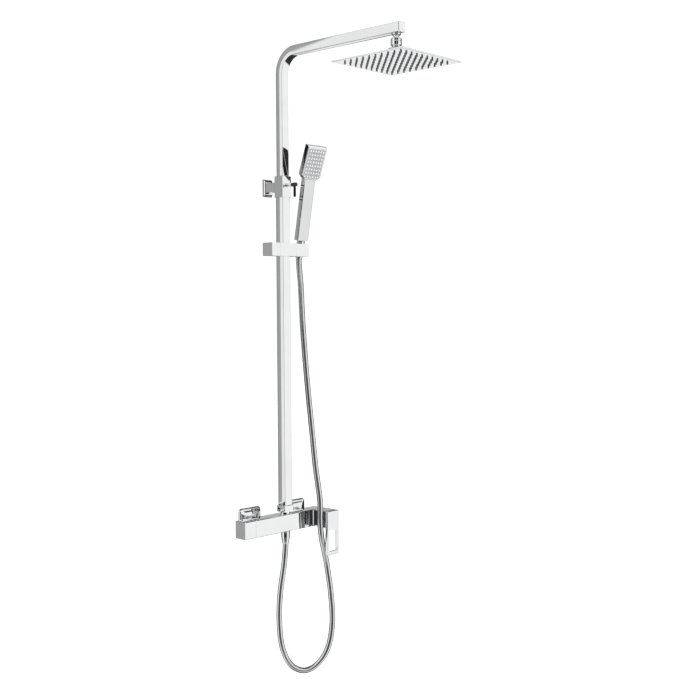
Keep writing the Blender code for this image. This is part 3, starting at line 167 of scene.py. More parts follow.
BAR_HEIGHT = 0.041
OUTLET_NUT_LENGTH = 0.032
MIXER_TOP = Vector((0.0, -0.056, -0.779))
HOLDER_TOP = Vector((0.0510, -0.0636, -0.1335))
HANDSET_LEAN = radians(10.3)
HANDSET_TURN = radians(-12)
HEAD_LEAN = radians(12.5)
HANDLE_FOOT = 0.0085                 # along the handle from the holder's top
HEAD_START = (0.0, 0.008, 0.1585)    # the head's lower back edge, along the handle
HEAD_DEPTH = 0.0175
FACE_MIDDLE = 0.0385                 # middle of the nozzle face above the head's foot
CONE_LENGTH = 0.0350
CONE_RADII = (0.0095, 0.0078)
CONE_BORE = 0.0040
CONE_SLEEVE = 0.0076                 # socket for the handset's nipple
CONE_SLEEVE_DEPTH = 0.0125
GROOVE_DEPTH = 0.0004                # ring turned into the union nut and into each cone
OUTLET_SLEEVE = 0.0090

HOSE_RADIUS = 0.0070
HOSE_PITCH = 0.0026                  # one turn of the wound steel strip
HOSE_GROOVE = 0.00022
HOSE_GROOVE_POWER = 3                # narrow grooves between broad turns
HOSE_SIDES = 16
HOSE_RINGS_PER_TURN = 5
HOSE_END_STRAIGHT = 0.005
HOSE_FINE_STEPS = 40                 # points between two of the route's own
HOSE_ROUTE = (                       # from the riser axis at the top of the mixer bar
    (0.0505, -0.0035, 0.580),
    (0.0490, -0.0090, 0.545),
    (0.0475, -0.0130, 0.500),
    (0.0465, -0.018, 0.439),
    (0.0485, -0.024, 0.357),
    (0.0530, -0.029, 0.275),
    (0.0580, -0.035, 0.192),
    (0.0625, -0.041, 0.110),
    (0.0685, -0.0490, 0.030),
    (0.0688, -0.0493, -0.025),
    (0.0735, -0.0493, -0.065),
    (0.0840, -0.0488, -0.102),
    (0.0930, -0.0490, -0.140),
    (0.0990, -0.0548, -0.205),
    (0.0970, -0.0610, -0.275),
    (0.0860, -0.0560, -0.335),
    (0.0640, -0.0410, -0.373),
    (0.0360, -0.0230, -0.386),
    (0.0080, -0.0050, -0.368),
    (-0.0090, 0.0060, -0.322),
    (-0.0145, 0.0090, -0.256),
    (-0.0120, 0.0070, -0.190),
    (-0.0040, 0.0020, -0.125),
)
TAIL_LENGTH = 0.045                  # stretch of hose next to the handset's nut
UPPER_LENGTH = 0.100                 # next stretch of hose after the tail


# ---------------------------------------------------------------- materials
METAL_PATCHES, METAL_GRAIN = 14.0, 900.0         # noise scales
POLYMER_PATCHES, POLYMER_GRAIN = 40.0, 1200.0
BROAD_DETAIL, FINE_DETAIL = 3.0, 2.0
POLYMER_RELIEF = 0.1
RELIEF_DEPTH = 0.0002
POLISH_SPREAD = (0.3, 0.7)                       # stretch of the noise that a change covers
TONE_SPREAD = (0.35, 0.65)


def new_material(name):
    material = bpy.data.materials.new(name)
    material.use_nodes = True
    nodes = material.node_tree.nodes
    return material, nodes, material.node_tree.links, nodes["Principled BSDF"]


def noise(nodes, links, scale, detail):
    """Noise in the object's own metres."""
    place = nodes.new("ShaderNodeTexCoord")
    texture = nodes.new("ShaderNodeTexNoise")
    texture.inputs["Scale"].default_value = scale
    texture.inputs["Detail"].default_value = detail
    links.new(place.outputs["Object"], texture.inputs["Vector"])
    return texture.outputs["Fac"]


def vary(nodes, links, source, socket, low, high):
    """A number that wanders between two values over the surface."""
    spread = nodes.new("ShaderNodeMapRange")
    spread.inputs["From Min"].default_value, spread.inputs["From Max"].default_value = POLISH_SPREAD
    spread.inputs["To Min"].default_value = low
    spread.inputs["To Max"].default_value = high
    links.new(source, spread.inputs["Value"])
    links.new(spread.outputs["Result"], socket)


def tint(nodes, links, source, socket, dark, light):
    """A colour that wanders between two tones."""
    ramp = nodes.new("ShaderNodeValToRGB")
    for element, position, colour in zip(ramp.color_ramp.elements, TONE_SPREAD, (dark, light)):
        element.position = position
        element.color = (*colour, 1.0)
    links.new(source, ramp.inputs["Fac"])
    links.new(ramp.outputs["Color"], socket)


def bump(nodes, links, source, shader, strength):
    """A shallow relief over the surface."""
    relief = nodes.new("ShaderNodeBump")
    relief.inputs["Strength"].default_value = strength
    relief.inputs["Distance"].default_value = RELIEF_DEPTH
    links.new(source, relief.inputs["Height"])
    links.new(relief.outputs["Normal"], shader.inputs["Normal"])


def surface(name, dark, light, smooth, dull, relief, patches, grain):
    """A material whose tone and polish vary a little in broad patches, over a fine grain."""
    material, nodes, links, shader = new_material(name)
    broad = noise(nodes, links, patches, BROAD_DETAIL)
    tint(nodes, links, broad, shader.inputs["Base Color"], dark, light)
    vary(nodes, links, broad, shader.inputs["Roughness"], smooth, dull)
    bump(nodes, links, noise(nodes, links, grain, FINE_DETAIL), shader, relief)
    return material, shader


def metal(name, dark, light, smooth, dull, relief):
    material, shader = surface(name, dark, light, smooth, dull, relief, METAL_PATCHES, METAL_GRAIN)
    shader.inputs["Metallic"].default_value = 1.0
    return material


def polymer(name, dark, light, smooth, dull):
    """Moulded plastic or rubber."""
    return surface(name, dark, light, smooth, dull, POLYMER_RELIEF, POLYMER_PATCHES, POLYMER_GRAIN)[0]


CHROME = metal("polished_chrome", (0.90, 0.905, 0.91), (0.94, 0.945, 0.95), 0.015, 0.045, 0.004)
STEEL = metal("fine_steel", (0.60, 0.61, 0.62), (0.70, 0.71, 0.72), 0.18, 0.28, 0.05)
HOSE_STEEL = metal("wound_steel", (0.74, 0.75, 0.76), (0.84, 0.85, 0.86), 0.04, 0.08, 0.01)
SATIN = metal("satin_face", (0.54, 0.55, 0.56), (0.60, 0.61, 0.62), 0.28, 0.38, 0.05)
# dark metal for the lock screw's head and drop handle: a painted dark reflection on what is chrome
PAINTED_DARK_REFLECTION = metal("painted_dark_reflection_metal", (0.05, 0.05, 0.052), (0.10, 0.10, 0.104), 0.06, 0.12, 0.02)
BRASS = metal("machined_brass", (0.66, 0.48, 0.22), (0.80, 0.62, 0.32), 0.22, 0.34, 0.06)
WHITE = polymer("white_plastic", (0.80, 0.80, 0.79), (0.88, 0.88, 0.87), 0.28, 0.40)
SILICONE = polymer("grey_silicone", (0.09, 0.095, 0.10), (0.14, 0.145, 0.15), 0.45, 0.60)
SEAL = polymer("black_rubber", (0.018, 0.018, 0.018), (0.035, 0.035, 0.035), 0.55, 0.75)
PALE_NOZZLE = polymer("pale_nozzle_rubber", (0.90, 0.905, 0.91), (0.96, 0.965, 0.97), 0.35, 0.50)

SLOT_MATERIALS = {
    "chrome": CHROME,
    "steel": STEEL,
    "brass": BRASS,
    "plastic": WHITE,
    "nozzle_rubber": SILICONE,
    "pale_rubber": PALE_NOZZLE,
    "seal_rubber": SEAL,
}

SLOT_OF = {part["node"]: part["material_slot"] for part in frame["record"]["subparts"]}
BODIES = frame["record"]["behaviour"]["bodies"]
BODY_OF = {node: body for body, nodes in BODIES.items() for node in nodes}


def dress_nodes():
    """Every CAD node takes the detailed material of its own slot, and the handset's face a satin one."""
    for name, slot in SLOT_OF.items():
        materials = frame["nodes"][name].data.materials
        materials.clear()
        materials.append(SATIN if name == "handset_face" else SLOT_MATERIALS[slot])


# ---------------------------------------------------------------- camera, floor and light
def make_camera():
    data = bpy.data.cameras.new("camera")
    data.lens = CAMERA_LENS
    data.sensor_width = CAMERA_SENSOR
    camera = bpy.data.objects.new("camera", data)
    bpy.context.scene.collection.objects.link(camera)
    camera.location = CAMERA_PLACE
    turn = Matrix.Rotation(CAMERA_HEADING, 4, "Z")
    tip = Matrix.Rotation(pi / 2 + CAMERA_PITCH, 4, "X")
    roll = Matrix.Rotation(CAMERA_ROLL, 4, "Z")
    camera.rotation_euler = (turn @ tip @ roll).to_euler()
    bpy.context.scene.camera = camera


def make_floor():
    builder = bmesh.new()
    bmesh.ops.create_grid(builder, x_segments=1, y_segments=1, size=FLOOR_SIDE / 2)
    mesh = bpy.data.meshes.new("floor")
    builder.to_mesh(mesh)
    builder.free()
    floor = bpy.data.objects.new("floor", mesh)
    bpy.context.scene.collection.objects.link(floor)
    floor.location.z = FLOOR_Z
    material, _, _, shader = new_material("pale_floor")
    shader.inputs["Base Color"].default_value = (0.94, 0.94, 0.94, 1.0)
    shader.inputs["Roughness"].default_value = 0.9
    shader.inputs["Emission Color"].default_value = (1.0, 1.0, 1.0, 1.0)
    shader.inputs["Emission Strength"].default_value = FLOOR_GLOW
    mesh.materials.append(material)
    floor.visible_glossy = False


def window(nodes, links, angle, low, high, soft):
    """1 where an angle in degrees is between low and high, with soft edges, and 0 elsewhere."""
    shift = nodes.new("ShaderNodeMath")
    shift.operation = "SUBTRACT"
    shift.inputs[1].default_value = (low + high) / 2
    links.new(angle, shift.inputs[0])
    wrap = nodes.new("ShaderNodeMath")
    wrap.operation = "WRAP"
    wrap.inputs[1].default_value = 180.0
    wrap.inputs[2].default_value = -180.0
    links.new(shift.outputs["Value"], wrap.inputs[0])
    size = nodes.new("ShaderNodeMath")
    size.operation = "ABSOLUTE"
    links.new(wrap.outputs["Value"], size.inputs[0])
    edge = nodes.new("ShaderNodeMapRange")
    edge.interpolation_type = "SMOOTHSTEP"
    edge.inputs["From Min"].default_value = (high - low) / 2 - soft
    edge.inputs["From Max"].default_value = (high - low) / 2 + soft
    edge.inputs["To Min"].default_value = 1.0
    edge.inputs["To Max"].default_value = 0.0
    links.new(size.outputs["Value"], edge.inputs["Value"])
    return edge.outputs["Result"]


def make_world():
    """A pale studio with grey and black cards that give the chrome its edges.

    A card is (turn from, to, height from, to, soft edge, level): degrees round from +X and above level.
    """
    world = bpy.data.worlds.new("studio")
    bpy.context.scene.world = world
    world.use_nodes = True
    nodes, links = world.node_tree.nodes, world.node_tree.links
    background = nodes["Background"]
    background.inputs["Color"].default_value = (1.0, 1.0, 1.0, 1.0)
    place = nodes.new("ShaderNodeTexCoord")
    split = nodes.new("ShaderNodeSeparateXYZ")
    links.new(place.outputs["Generated"], split.inputs[0])

    def math(operation, first, second):
        node = nodes.new("ShaderNodeMath")
        node.operation = operation
        for socket, value in zip(node.inputs, (first, second)):
            if isinstance(value, float):
                socket.default_value = value
            else:
                links.new(value, socket)
        return node.outputs["Value"]

    turn = math("MULTIPLY", math("ARCTAN2", split.outputs["Y"], split.outputs["X"]), degrees(1.0))
    height = math("MULTIPLY", math("ARCSINE", split.outputs["Z"], 0.0), degrees(1.0))
    level = math("ADD", STUDIO_LEVEL, 0.0)
    for turn_low, turn_high, low, high, soft, card_level in STUDIO_CARDS:
        card = math("MULTIPLY", window(nodes, links, turn, turn_low, turn_high, soft),
                    window(nodes, links, height, low, high, soft))
        mix = nodes.new("ShaderNodeMix")
        mix.data_type = "FLOAT"
        links.new(card, mix.inputs["Factor"])
        links.new(level, mix.inputs["A"])
        mix.inputs["B"].default_value = card_level
        level = mix.outputs["Result"]
    path = nodes.new("ShaderNodeLightPath")
    choose = nodes.new("ShaderNodeMix")
    choose.data_type = "FLOAT"
    links.new(path.outputs["Is Camera Ray"], choose.inputs["Factor"])
    links.new(level, choose.inputs["A"])
    choose.inputs["B"].default_value = BACKDROP_LEVEL
    links.new(choose.outputs["Result"], background.inputs["Strength"])


# ---------------------------------------------------------------- building blocks
def box_of(node):
    low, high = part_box(node)
    return Vector(low), Vector(high)


def middle_of(node):
    low, high = box_of(node)
    return (low + high) / 2


def new_object(name, builder, material):
    """A smooth-shaded object in the scene, made from a finished bmesh."""
    bmesh.ops.recalc_face_normals(builder, faces=builder.faces)
    mesh = bpy.data.meshes.new(name)
    builder.to_mesh(mesh)
    builder.free()
    mesh.shade_smooth()
    mesh.materials.append(material)
    made = bpy.data.objects.new(name, mesh)
    bpy.context.scene.collection.objects.link(made)
    return made


def make_piece(name, builder, material, node, stands_in=True):
    """A finished piece that moves with a CAD node's body, and stands in for the node or adds to it."""
    piece = new_object(name, builder, material)
    piece.data.set_sharp_from_angle(angle=SHARP_ANGLE)
    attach(piece, BODY_OF[node])
    if stands_in:
        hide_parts(node)
    return piece


def eased(profile, radius, steps=EASE_STEPS):
    """The same outline with its inner corners rounded."""
    points = [Vector(point) for point in profile]
    smooth = [points[0]]
    for before, corner, after in zip(points, points[1:], points[2:]):
        back, on = before - corner, after - corner
        start = corner + back.normalized() * min(radius, EASE_SHARE * back.length)
        end = corner + on.normalized() * min(radius, EASE_SHARE * on.length)
        for step in range(steps + 1):
            t = step / steps
            smooth.append(start * (1 - t) ** 2 + corner * 2 * t * (1 - t) + end * t ** 2)
    return smooth + [points[-1]]


def eased_ring(profile, radius):
    """A closed outline, given with its first point again at the end, in the form that lathe closes."""
    return eased(profile, radius)[:-1]


def lathe(builder, profile, place, steps=ROUND_STEPS, stretch=1.0):
    """A turned solid: profile is (radius, height) and either starts and ends on the axis or closes."""
    rings = []
    for radius, height in profile:
        if radius == 0:
            rings.append([builder.verts.new(place @ Vector((0, 0, height)))])
            continue
        angles = [2 * pi * step / steps for step in range(steps)]
        points = [Vector((radius * cos(angle), stretch * radius * sin(angle), height)) for angle in angles]
        rings.append([builder.verts.new(place @ point) for point in points])
    if profile[0][0] > 0:
        rings.append(rings[0])
    for upper, lower in zip(rings, rings[1:]):
        for step in range(steps):
            follow = (step + 1) % steps
            corners = [upper[step % len(upper)], upper[follow % len(upper)],
                       lower[follow % len(lower)], lower[step % len(lower)]]
            builder.faces.new(list(dict.fromkeys(corners)))


def rounded_rectangle(width, height, corner):
    """Points of a rectangle with rounded corners, counter-clockwise about its middle."""
    points = []
    for quarter, (right, up) in enumerate(((1, 1), (-1, 1), (-1, -1), (1, -1))):
        middle = Vector((right * (width / 2 - corner), up * (height / 2 - corner)))
        for step in range(CORNER_STEPS + 1):
            angle = pi / 2 * (quarter + step / CORNER_STEPS)
            points.append(middle + corner * Vector((cos(angle), sin(angle))))
    return points


def square_tube(builder, frames, side):
    """An open-ended square tube along frames of (middle, across, outward)."""
    loops = []
    inside = side - 2 * TUBE_WALL
    for outline in (rounded_rectangle(side, side, TUBE_CORNER),
                    rounded_rectangle(inside, inside, TUBE_CORNER - TUBE_WALL)):
        loops.append([[builder.verts.new(middle + across * x + outward * y) for x, y in outline]
                      for middle, across, outward in frames])
    count = len(loops[0][0])
    for rings in loops:
        for start, end in zip(rings, rings[1:]):
            for step in range(count):
                follow = (step + 1) % count
                builder.faces.new((start[step], start[follow], end[follow], end[step]))
    outer, inner = loops
    for index in (0, -1):
        for step in range(count):
            follow = (step + 1) % count
            builder.faces.new((outer[index][step], outer[index][follow], inner[index][follow],
                               inner[index][step]))


# ---------------------------------------------------------------- wall plates
def make_plate(name, node, hole, corner, edge):
    """A cushion-shaped wall plate: eased rim, and a face that swells gently towards its hole."""
    low, high = box_of(node)
    middle = middle_of(node)
    width, height = high.x - low.x, high.z - low.z
    rim = low.y + PLATE_SWELL
    sections = [(rounded_rectangle(width, height, corner), high.y)]
    for step in range(EDGE_STEPS + 1):
        angle = pi / 2 * step / EDGE_STEPS
        inset = edge * (1 - cos(angle))
        outline = rounded_rectangle(width - 2 * inset, height - 2 * inset, corner - inset)
        sections.append((outline, rim + edge * (1 - sin(angle))))
    face = sections[-1][0]
    for step in range(1, EDGE_STEPS + 1):
        t = step / EDGE_STEPS
        outline = [outer.lerp(inner, t) for outer, inner in zip(face, hole)]
        sections.append((outline, low.y + PLATE_SWELL * (1 - t) ** 2))
    sections.append((hole, high.y))
    builder = bmesh.new()
    rings = [[builder.verts.new((middle.x + x, depth, middle.z + z)) for x, z in outline]
             for outline, depth in sections]
    count = len(hole)
    for start, end in zip(rings, rings[1:] + rings[:1]):
        for step in range(count):
            follow = (step + 1) % count
            builder.faces.new((start[step], start[follow], end[follow], end[step]))
    make_piece(name, builder, CHROME, node)


def make_plates():
    """Both rosettes and the bracket's cover."""
    radius = UNION_TAIL + GAP
    for side in ("left", "right"):
        make_plate("wall_rosette_" + side, "rosette_" + side,
                   rounded_rectangle(2 * radius, 2 * radius, radius), ROSETTE_CORNER, ROSETTE_EDGE)
    low, high = box_of("bracket_post")
    post = high.x - low.x + 2 * GAP
    make_plate("wall_bracket_cover", "bracket_cover", rounded_rectangle(post, post, COVER_HOLE_CORNER),
               COVER_CORNER, COVER_EDGE)


# ---------------------------------------------------------------- tubes, swivel and lock screw
def make_tubes():
    """The riser's two tubes with finely rounded corners, and the arm's bend as one smooth curve."""
    across, outward = Vector((1, 0, 0)), Vector((0, 1, 0))
    low, high = box_of("lower_tube")
    middle = middle_of("lower_tube")
    builder = bmesh.new()
    frames = [(Vector((middle.x, middle.y, height)), across, outward) for height in (low.z, high.z)]
    square_tube(builder, frames, high.x - low.x)
    make_piece("riser_lower_tube", builder, CHROME, "lower_tube")

    low, high = box_of("upper_tube")
    side = high.x - low.x
    top = high.z - side / 2
    centre = Vector((middle.x, middle.y - BEND_RADIUS, top - BEND_RADIUS))
    frames = [(Vector((middle.x, middle.y, low.z)), across, outward)]
    for step in range(BEND_STEPS + 1):
        angle = pi / 2 * step / BEND_STEPS
        out = Vector((0, cos(angle), sin(angle)))
        frames.append((centre + out * BEND_RADIUS, across, out))
    frames.append((Vector((middle.x, low.y, top)), across, Vector((0, 0, 1))))
    builder = bmesh.new()
    square_tube(builder, frames, side)
    make_piece("riser_upper_tube", builder, CHROME, "upper_tube")


def ball_arc(radius, start, end, count):
    """Points of a turned profile on a ball about the origin, in degrees up from level."""
    angles = [radians(start + (end - start) * step / (count - 1)) for step in range(count)]
    return [(radius * cos(angle), radius * sin(angle)) for angle in angles]


def ball_profile(arm_under):
    """The hollow stem in the arm, its collar, and the ball below."""
    foot = arm_under - COLLAR_DEPTH
    stem = [(STEM_BORE, arm_under + STEM_RISE), (STEM_RADIUS, arm_under + STEM_RISE),
            (STEM_RADIUS, arm_under - 2 * GAP), (COLLAR_RADIUS, arm_under - 2 * GAP),
            (COLLAR_RADIUS, foot), (0.0077, foot - 0.0010), (BALL_NECK, foot - 0.0040)]
    bore = [(BALL_BORE, -0.0060), (BALL_BORE, arm_under)]
    return eased(stem, 0.0006) + ball_arc(BALL_RADIUS, *BALL_ARC, BALL_STEPS)[1:] + bore


def nut_profile():
    """The union nut, sloping to its bore above, with a groove turned into it."""
    groove = NUT_RADIUS - GROOVE_DEPTH
    return eased_ring([(NUT_BORE, NUT_FOOT), (NUT_BORE, NUT_TOP), (0.0097, NUT_TOP), (NUT_RADIUS, 0.0035),
                       (NUT_RADIUS, -0.0004), (groove, -0.0008), (groove, -0.0018),
                       (NUT_RADIUS, -0.0022), (NUT_RADIUS, -0.0100), (0.0112, NUT_FOOT),
                       (NUT_BORE, NUT_FOOT)], 0.0005)


def band_profile():
    return eased_ring([(HUB_BORE, BAND_FOOT), (HUB_BORE, BAND_TOP), (BAND_RADIUS, BAND_TOP),
                       (BAND_RADIUS, BAND_FOOT), (HUB_BORE, BAND_FOOT)], 0.0008)


def hub_profile(tray_top):
    """The flange on the tray, with a shoulder under the ring."""
    foot = tray_top + GAP
    return eased_ring([(HUB_BORE, foot), (HUB_BORE, HUB_TOP), (HUB_NECK, HUB_TOP), (0.0168, -0.0166),
                       (HUB_SHOULDER, -0.0180), (0.0168, -0.0192), (0.0090, -0.0210),
                       (HUB_NECK, tray_top + 0.014), (0.0160, tray_top + 0.0030), (HUB_FOOT, foot),
                       (HUB_BORE, foot)], 0.0030)


def make_swivel():
    """Ball neck, union nut, ring and flange between the arm and the rain head."""
    middle = middle_of("swivel_nut")
    place = Matrix.Translation((middle.x, middle.y, BALL_HEIGHT))
    tray_top = box_of("head_back")[1].z - BALL_HEIGHT
    arm_under = box_of("arm_end_cap")[0].z - BALL_HEIGHT
    for name, node, profile in (("ball_neck", "swivel_ball", ball_profile(arm_under)),
                                ("ball_union_nut", "swivel_nut", nut_profile()),
                                ("ball_slip_ring", "swivel_ring", band_profile()),
                                ("rain_head_flange", "head_flange", hub_profile(tray_top))):
        builder = bmesh.new()
        lathe(builder, profile, place)
        make_piece(name, builder, CHROME, node)


def make_lock_screw():
    """The telescope's lock screw: a chrome shank that stands in for it, and a head whose dark metal is a
    painted dark reflection.
    """
    low, high = box_of("telescope_screw")
    middle = middle_of("telescope_screw")
    length = high.y - low.y
    radius = (high.z - low.z) / 2
    neck = length - SCREW_HEAD_SHARE * radius
    place = Matrix.Translation((middle.x, high.y, middle.z)) @ Matrix.Rotation(pi / 2, 4, "X")
    shoulder = high.y - box_of("bracket_collar")[0].y + GAP
    shank = eased([(0, 0), (SCREW_SHANK, 0), (SCREW_SHANK, shoulder), (radius, shoulder),
                   (radius, neck - 0.0004), (SCREW_NECK, neck), (0, neck)], 0.0009)
    head = eased([(0, neck + 0.0001), (0.0026, neck + 0.0001), (radius, neck + 0.0006),
                  (radius, length), (0, length)], SCREW_EASE)
    # the head's dark material is a painted dark reflection, not a plating of its own
    for name, profile, material, stands_in in (("lock_screw_shank", shank, CHROME, True),
                                               ("lock_screw_head", head, PAINTED_DARK_REFLECTION, False)):
        builder = bmesh.new()
        lathe(builder, profile, place)
        make_piece(name, builder, material, "telescope_screw", stands_in)


def make_lock_handle():
    """The lock screw's drop handle, thinner where it goes through the head, in dark metal that paints its
    dark reflections.
    """
    low, high = box_of("telescope_lever")
    middle = middle_of("telescope_lever")
    radius = (high.x - low.x) / 2
    thin = radius - STICK_STEP
    collar = middle_of("telescope_screw").z - STICK_COLLAR_DROP
    stick = eased([(0, high.z), (thin, high.z), (thin, collar), (radius, collar), (radius, low.z),
                   (0, low.z)], SCREW_EASE)
    builder = bmesh.new()
    lathe(builder, stick, Matrix.Translation((middle.x, middle.y, 0)))
    make_piece("lock_handle", builder, PAINTED_DARK_REFLECTION, "telescope_lever")


# ---------------------------------------------------------------- nozzles and hose nuts
HANDLE_PLACE = (Matrix.Translation(HOLDER_TOP) @ Matrix.Rotation(HANDSET_LEAN, 4, "X")
                @ Matrix.Rotation(HANDSET_TURN, 4, "Z"))
HEAD_PLACE = HANDLE_PLACE @ Matrix.Translation(HEAD_START) @ Matrix.Rotation(HEAD_LEAN, 4, "X")


def nozzle_points(columns, rows, across, up):
    """Places of a grid of nozzles about its middle."""
    return [((column - (columns - 1) / 2) * across, (row - (rows - 1) / 2) * up)
            for row in range(rows) for column in range(columns)]


def make_rain_nozzles():
    """The silicone mat above the face and its hundred tapered nozzles, each with a dimpled tip."""
    low, high = box_of("head_nozzle_mat")
    middle = middle_of("head_nozzle_mat")
    root, tip = high.z - MAT_THICKNESS / 2, low.z
    dimple = tip + DIMPLE_DEPTH
    profile = eased([(0, root), (NOZZLE_RADIUS, root), (NOZZLE_RADIUS, tip + NOZZLE_TAPER),
                     (NOZZLE_TIP, tip), (NOZZLE_HOLE, tip), (NOZZLE_HOLE - 0.0002, dimple), (0, dimple)],
                    0.0003, 2)
    builder = bmesh.new()
    size = Matrix.Diagonal((high.x - low.x, high.y - low.y, MAT_THICKNESS, 1))
    bmesh.ops.create_cube(builder, size=1.0, matrix=Matrix.Translation((middle.x, middle.y, root)) @ size)
    for x, y in nozzle_points(NOZZLE_ROWS, NOZZLE_ROWS, NOZZLE_PITCH, NOZZLE_PITCH):
        lathe(builder, profile, Matrix.Translation((middle.x + x, middle.y + y, 0)), NOZZLE_SIDES)
    make_piece("rain_nozzles", builder, SILICONE, "head_nozzle_mat")


def make_handset_nozzles():
    """The pale mat behind the handset's face and its oval nozzles."""
    back = HAND_MAT_DEPTH - HEAD_DEPTH
    reach, dimple = HAND_NOZZLE_REACH, HAND_NOZZLE_REACH - 0.0004
    profile = eased([(0, 0), (HAND_NOZZLE_RADIUS, 0), (HAND_NOZZLE_RADIUS, 0.0022),
                     (0.0019, reach - 0.0001), (0.0007, reach), (0.0005, dimple), (0, dimple)], 0.0004, 2)
    builder = bmesh.new()
    slab = HEAD_PLACE @ Matrix.Translation((0, back, FACE_MIDDLE)) @ Matrix.Diagonal((*HAND_MAT, 1))
    bmesh.ops.create_cube(builder, size=1.0, matrix=slab)
    for x, z in nozzle_points(HAND_COLUMNS, HAND_ROWS, *HAND_PITCH):
        place = HEAD_PLACE @ Matrix.Translation((x, back, FACE_MIDDLE + z)) @ Matrix.Rotation(pi / 2, 4, "X")
        lathe(builder, profile, place, NOZZLE_SIDES, HAND_NOZZLE_STRETCH)
    make_piece("handset_nozzles", builder, PALE_NOZZLE, "handset_nozzle_mat")


def make_upper_nut():
    """The conical nut that stands in the holder, with a ring under the handle."""
    wide, narrow = CONE_RADII
    groove = wide - GROOVE_DEPTH
    top, shelf = HANDLE_FOOT - GAP, HANDLE_FOOT - CONE_SLEEVE_DEPTH
    profile = eased_ring([(CONE_BORE, shelf), (CONE_SLEEVE, shelf), (CONE_SLEEVE, top), (wide, top),
                          (wide, top - 0.0020), (groove, top - 0.0024), (groove, top - 0.0034),
                          (wide, top - 0.0038), (wide, 0.0), (narrow, -CONE_LENGTH),
                          (CONE_BORE, -CONE_LENGTH), (CONE_BORE, shelf)], 0.0004)
    builder = bmesh.new()
    lathe(builder, profile, HANDLE_PLACE)
    return make_piece("hose_cone_upper", builder, CHROME, "hose_nut_upper")


def make_lower_nut():
    """The conical nut under the mixer bar."""
    low, high = box_of("hose_nut_lower")
    middle = middle_of("hose_nut_lower")
    radius, length = (high.x - low.x) / 2, high.z - low.z
    groove = radius - GROOVE_DEPTH
    cone_top, shelf = 0.52 * length, 0.55 * length
    profile = eased_ring([(CONE_BORE, 0.0), (HOSE_RADIUS + 0.0006, 0.0), (radius, cone_top),
                          (radius, length - 0.0030), (groove, length - 0.0026),
                          (groove, length - 0.0016), (radius, length - 0.0012), (radius, length),
                          (OUTLET_SLEEVE, length), (OUTLET_SLEEVE, shelf), (CONE_BORE, shelf),
                          (CONE_BORE, 0.0)], 0.0004)
    builder = bmesh.new()
    lathe(builder, profile, Matrix.Translation((middle.x, middle.y, low.z)))
    return make_piece("hose_cone_lower", builder, CHROME, "hose_nut_lower")


# ---------------------------------------------------------------- hose
def catmull_rom(points, steps):
    """A smooth line through the given points."""
    ends = [2 * points[0] - points[1], *points, 2 * points[-1] - points[-2]]
    fine = []
    for before, start, end, after in zip(ends, ends[1:], ends[2:], ends[3:]):
        for step in range(steps):
            t = step / steps
            fine.append(0.5 * (2 * start + (end - before) * t
                               + (2 * before - 5 * start + 4 * end - after) * t ** 2
                               + (3 * start - before - 3 * end + after) * t ** 3))
    return fine + [points[-1]]


def even_points(line, spacing):
    """The same line with its points at an even spacing."""
    length = sum((b - a).length for a, b in zip(line, line[1:]))
    count = round(length / spacing)
    even, travelled, wanted = [line[0]], 0.0, length / count
    for a, b in zip(line, line[1:]):
        step = (b - a).length
        while travelled + step >= wanted - 1e-9 and len(even) < count:
            even.append(a.lerp(b, (wanted - travelled) / step))
            wanted += length / count
        travelled += step
    return even + [line[-1]]


def hose_line():
    """The hose's centreline, from the handset's nut to the outlet's nut."""
    axis = HANDLE_PLACE.to_3x3() @ Vector((0, 0, -1))
    start = HOLDER_TOP + axis * (CONE_LENGTH + GAP)
    end = MIXER_TOP - Vector((0, 0, BAR_HEIGHT + OUTLET_NUT_LENGTH + GAP))
    route = [MIXER_TOP + Vector(point) for point in HOSE_ROUTE]
    through = [start + axis * HOSE_END_STRAIGHT, *route, end - Vector((0, 0, HOSE_END_STRAIGHT))]
    smooth = [start, *catmull_rom(through, HOSE_FINE_STEPS), end]
    return even_points(smooth, HOSE_PITCH / HOSE_RINGS_PER_TURN)


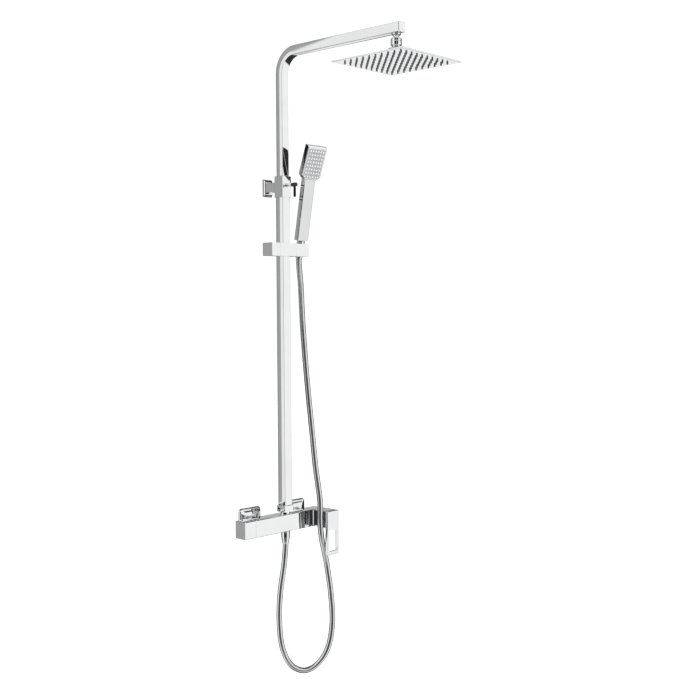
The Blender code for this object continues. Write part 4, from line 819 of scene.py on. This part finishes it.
def wound_tube(name, line, first, last, cap_start=False, cap_end=False):
    """A stretch of the wound metal hose between two points of its line."""
    builder = bmesh.new()
    side = Vector((1, 0, 0))
    rings = []
    for index in range(first, last + 1):
        before, after = line[max(index - 1, 0)], line[min(index + 1, len(line) - 1)]
        along = (after - before).normalized()
        side = (side - along * side.dot(along)).normalized()
        across = along.cross(side)
        ring = []
        for corner in range(HOSE_SIDES):
            angle = 2 * pi * corner / HOSE_SIDES
            phase = index / HOSE_RINGS_PER_TURN + corner / HOSE_SIDES
            groove = 0.5 - 0.5 * cos(2 * pi * phase)
            radius = HOSE_RADIUS - HOSE_GROOVE * groove ** HOSE_GROOVE_POWER
            ring.append(builder.verts.new(line[index] + (side * cos(angle) + across * sin(angle)) * radius))
        rings.append(ring)
    for lower, upper in zip(rings, rings[1:]):
        for corner in range(HOSE_SIDES):
            follow = (corner + 1) % HOSE_SIDES
            builder.faces.new((lower[corner], lower[follow], upper[follow], upper[corner]))
    if cap_start:
        builder.faces.new(rings[0][::-1])
    if cap_end:
        builder.faces.new(rings[-1])
    tube = new_object(name, builder, HOSE_STEEL)
    return tube


def make_hose(upper_nut, lower_nut):
    """One hose in four stretches that meet end to end.

    The tail starts at the handset's nut, the upper stretch follows it, and the long leg runs down to the
    loop's foot. The short leg goes with the column's body from the loop's foot to the outlet.
    """
    line = hose_line()
    step = (line[1] - line[0]).length
    tail_end = round(TAIL_LENGTH / step)
    upper_end = tail_end + round(UPPER_LENGTH / step)
    loop_foot = min(range(len(line)), key=lambda index: line[index].z)
    tail = wound_tube("hose_tail", line, 0, tail_end, cap_start=True)
    upper = wound_tube("hose_upper", line, tail_end, upper_end)
    long_leg = wound_tube("hose_long_leg", line, upper_end, loop_foot)
    short_leg = wound_tube("hose_short_leg", line, loop_foot, len(line) - 1, cap_end=True)
    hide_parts("shower_hose")

    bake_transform(tail)
    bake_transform(upper)
    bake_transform(long_leg)
    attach(short_leg, "column")


# ---------------------------------------------------------------- assembly
bpy.context.scene.view_settings.view_transform = "Standard"
make_camera()
make_floor()
make_world()
dress_nodes()
make_hose(make_upper_nut(), make_lower_nut())
make_plates()
make_tubes()
make_swivel()
make_lock_screw()
make_lock_handle()
make_rain_nozzles()
make_handset_nozzles()
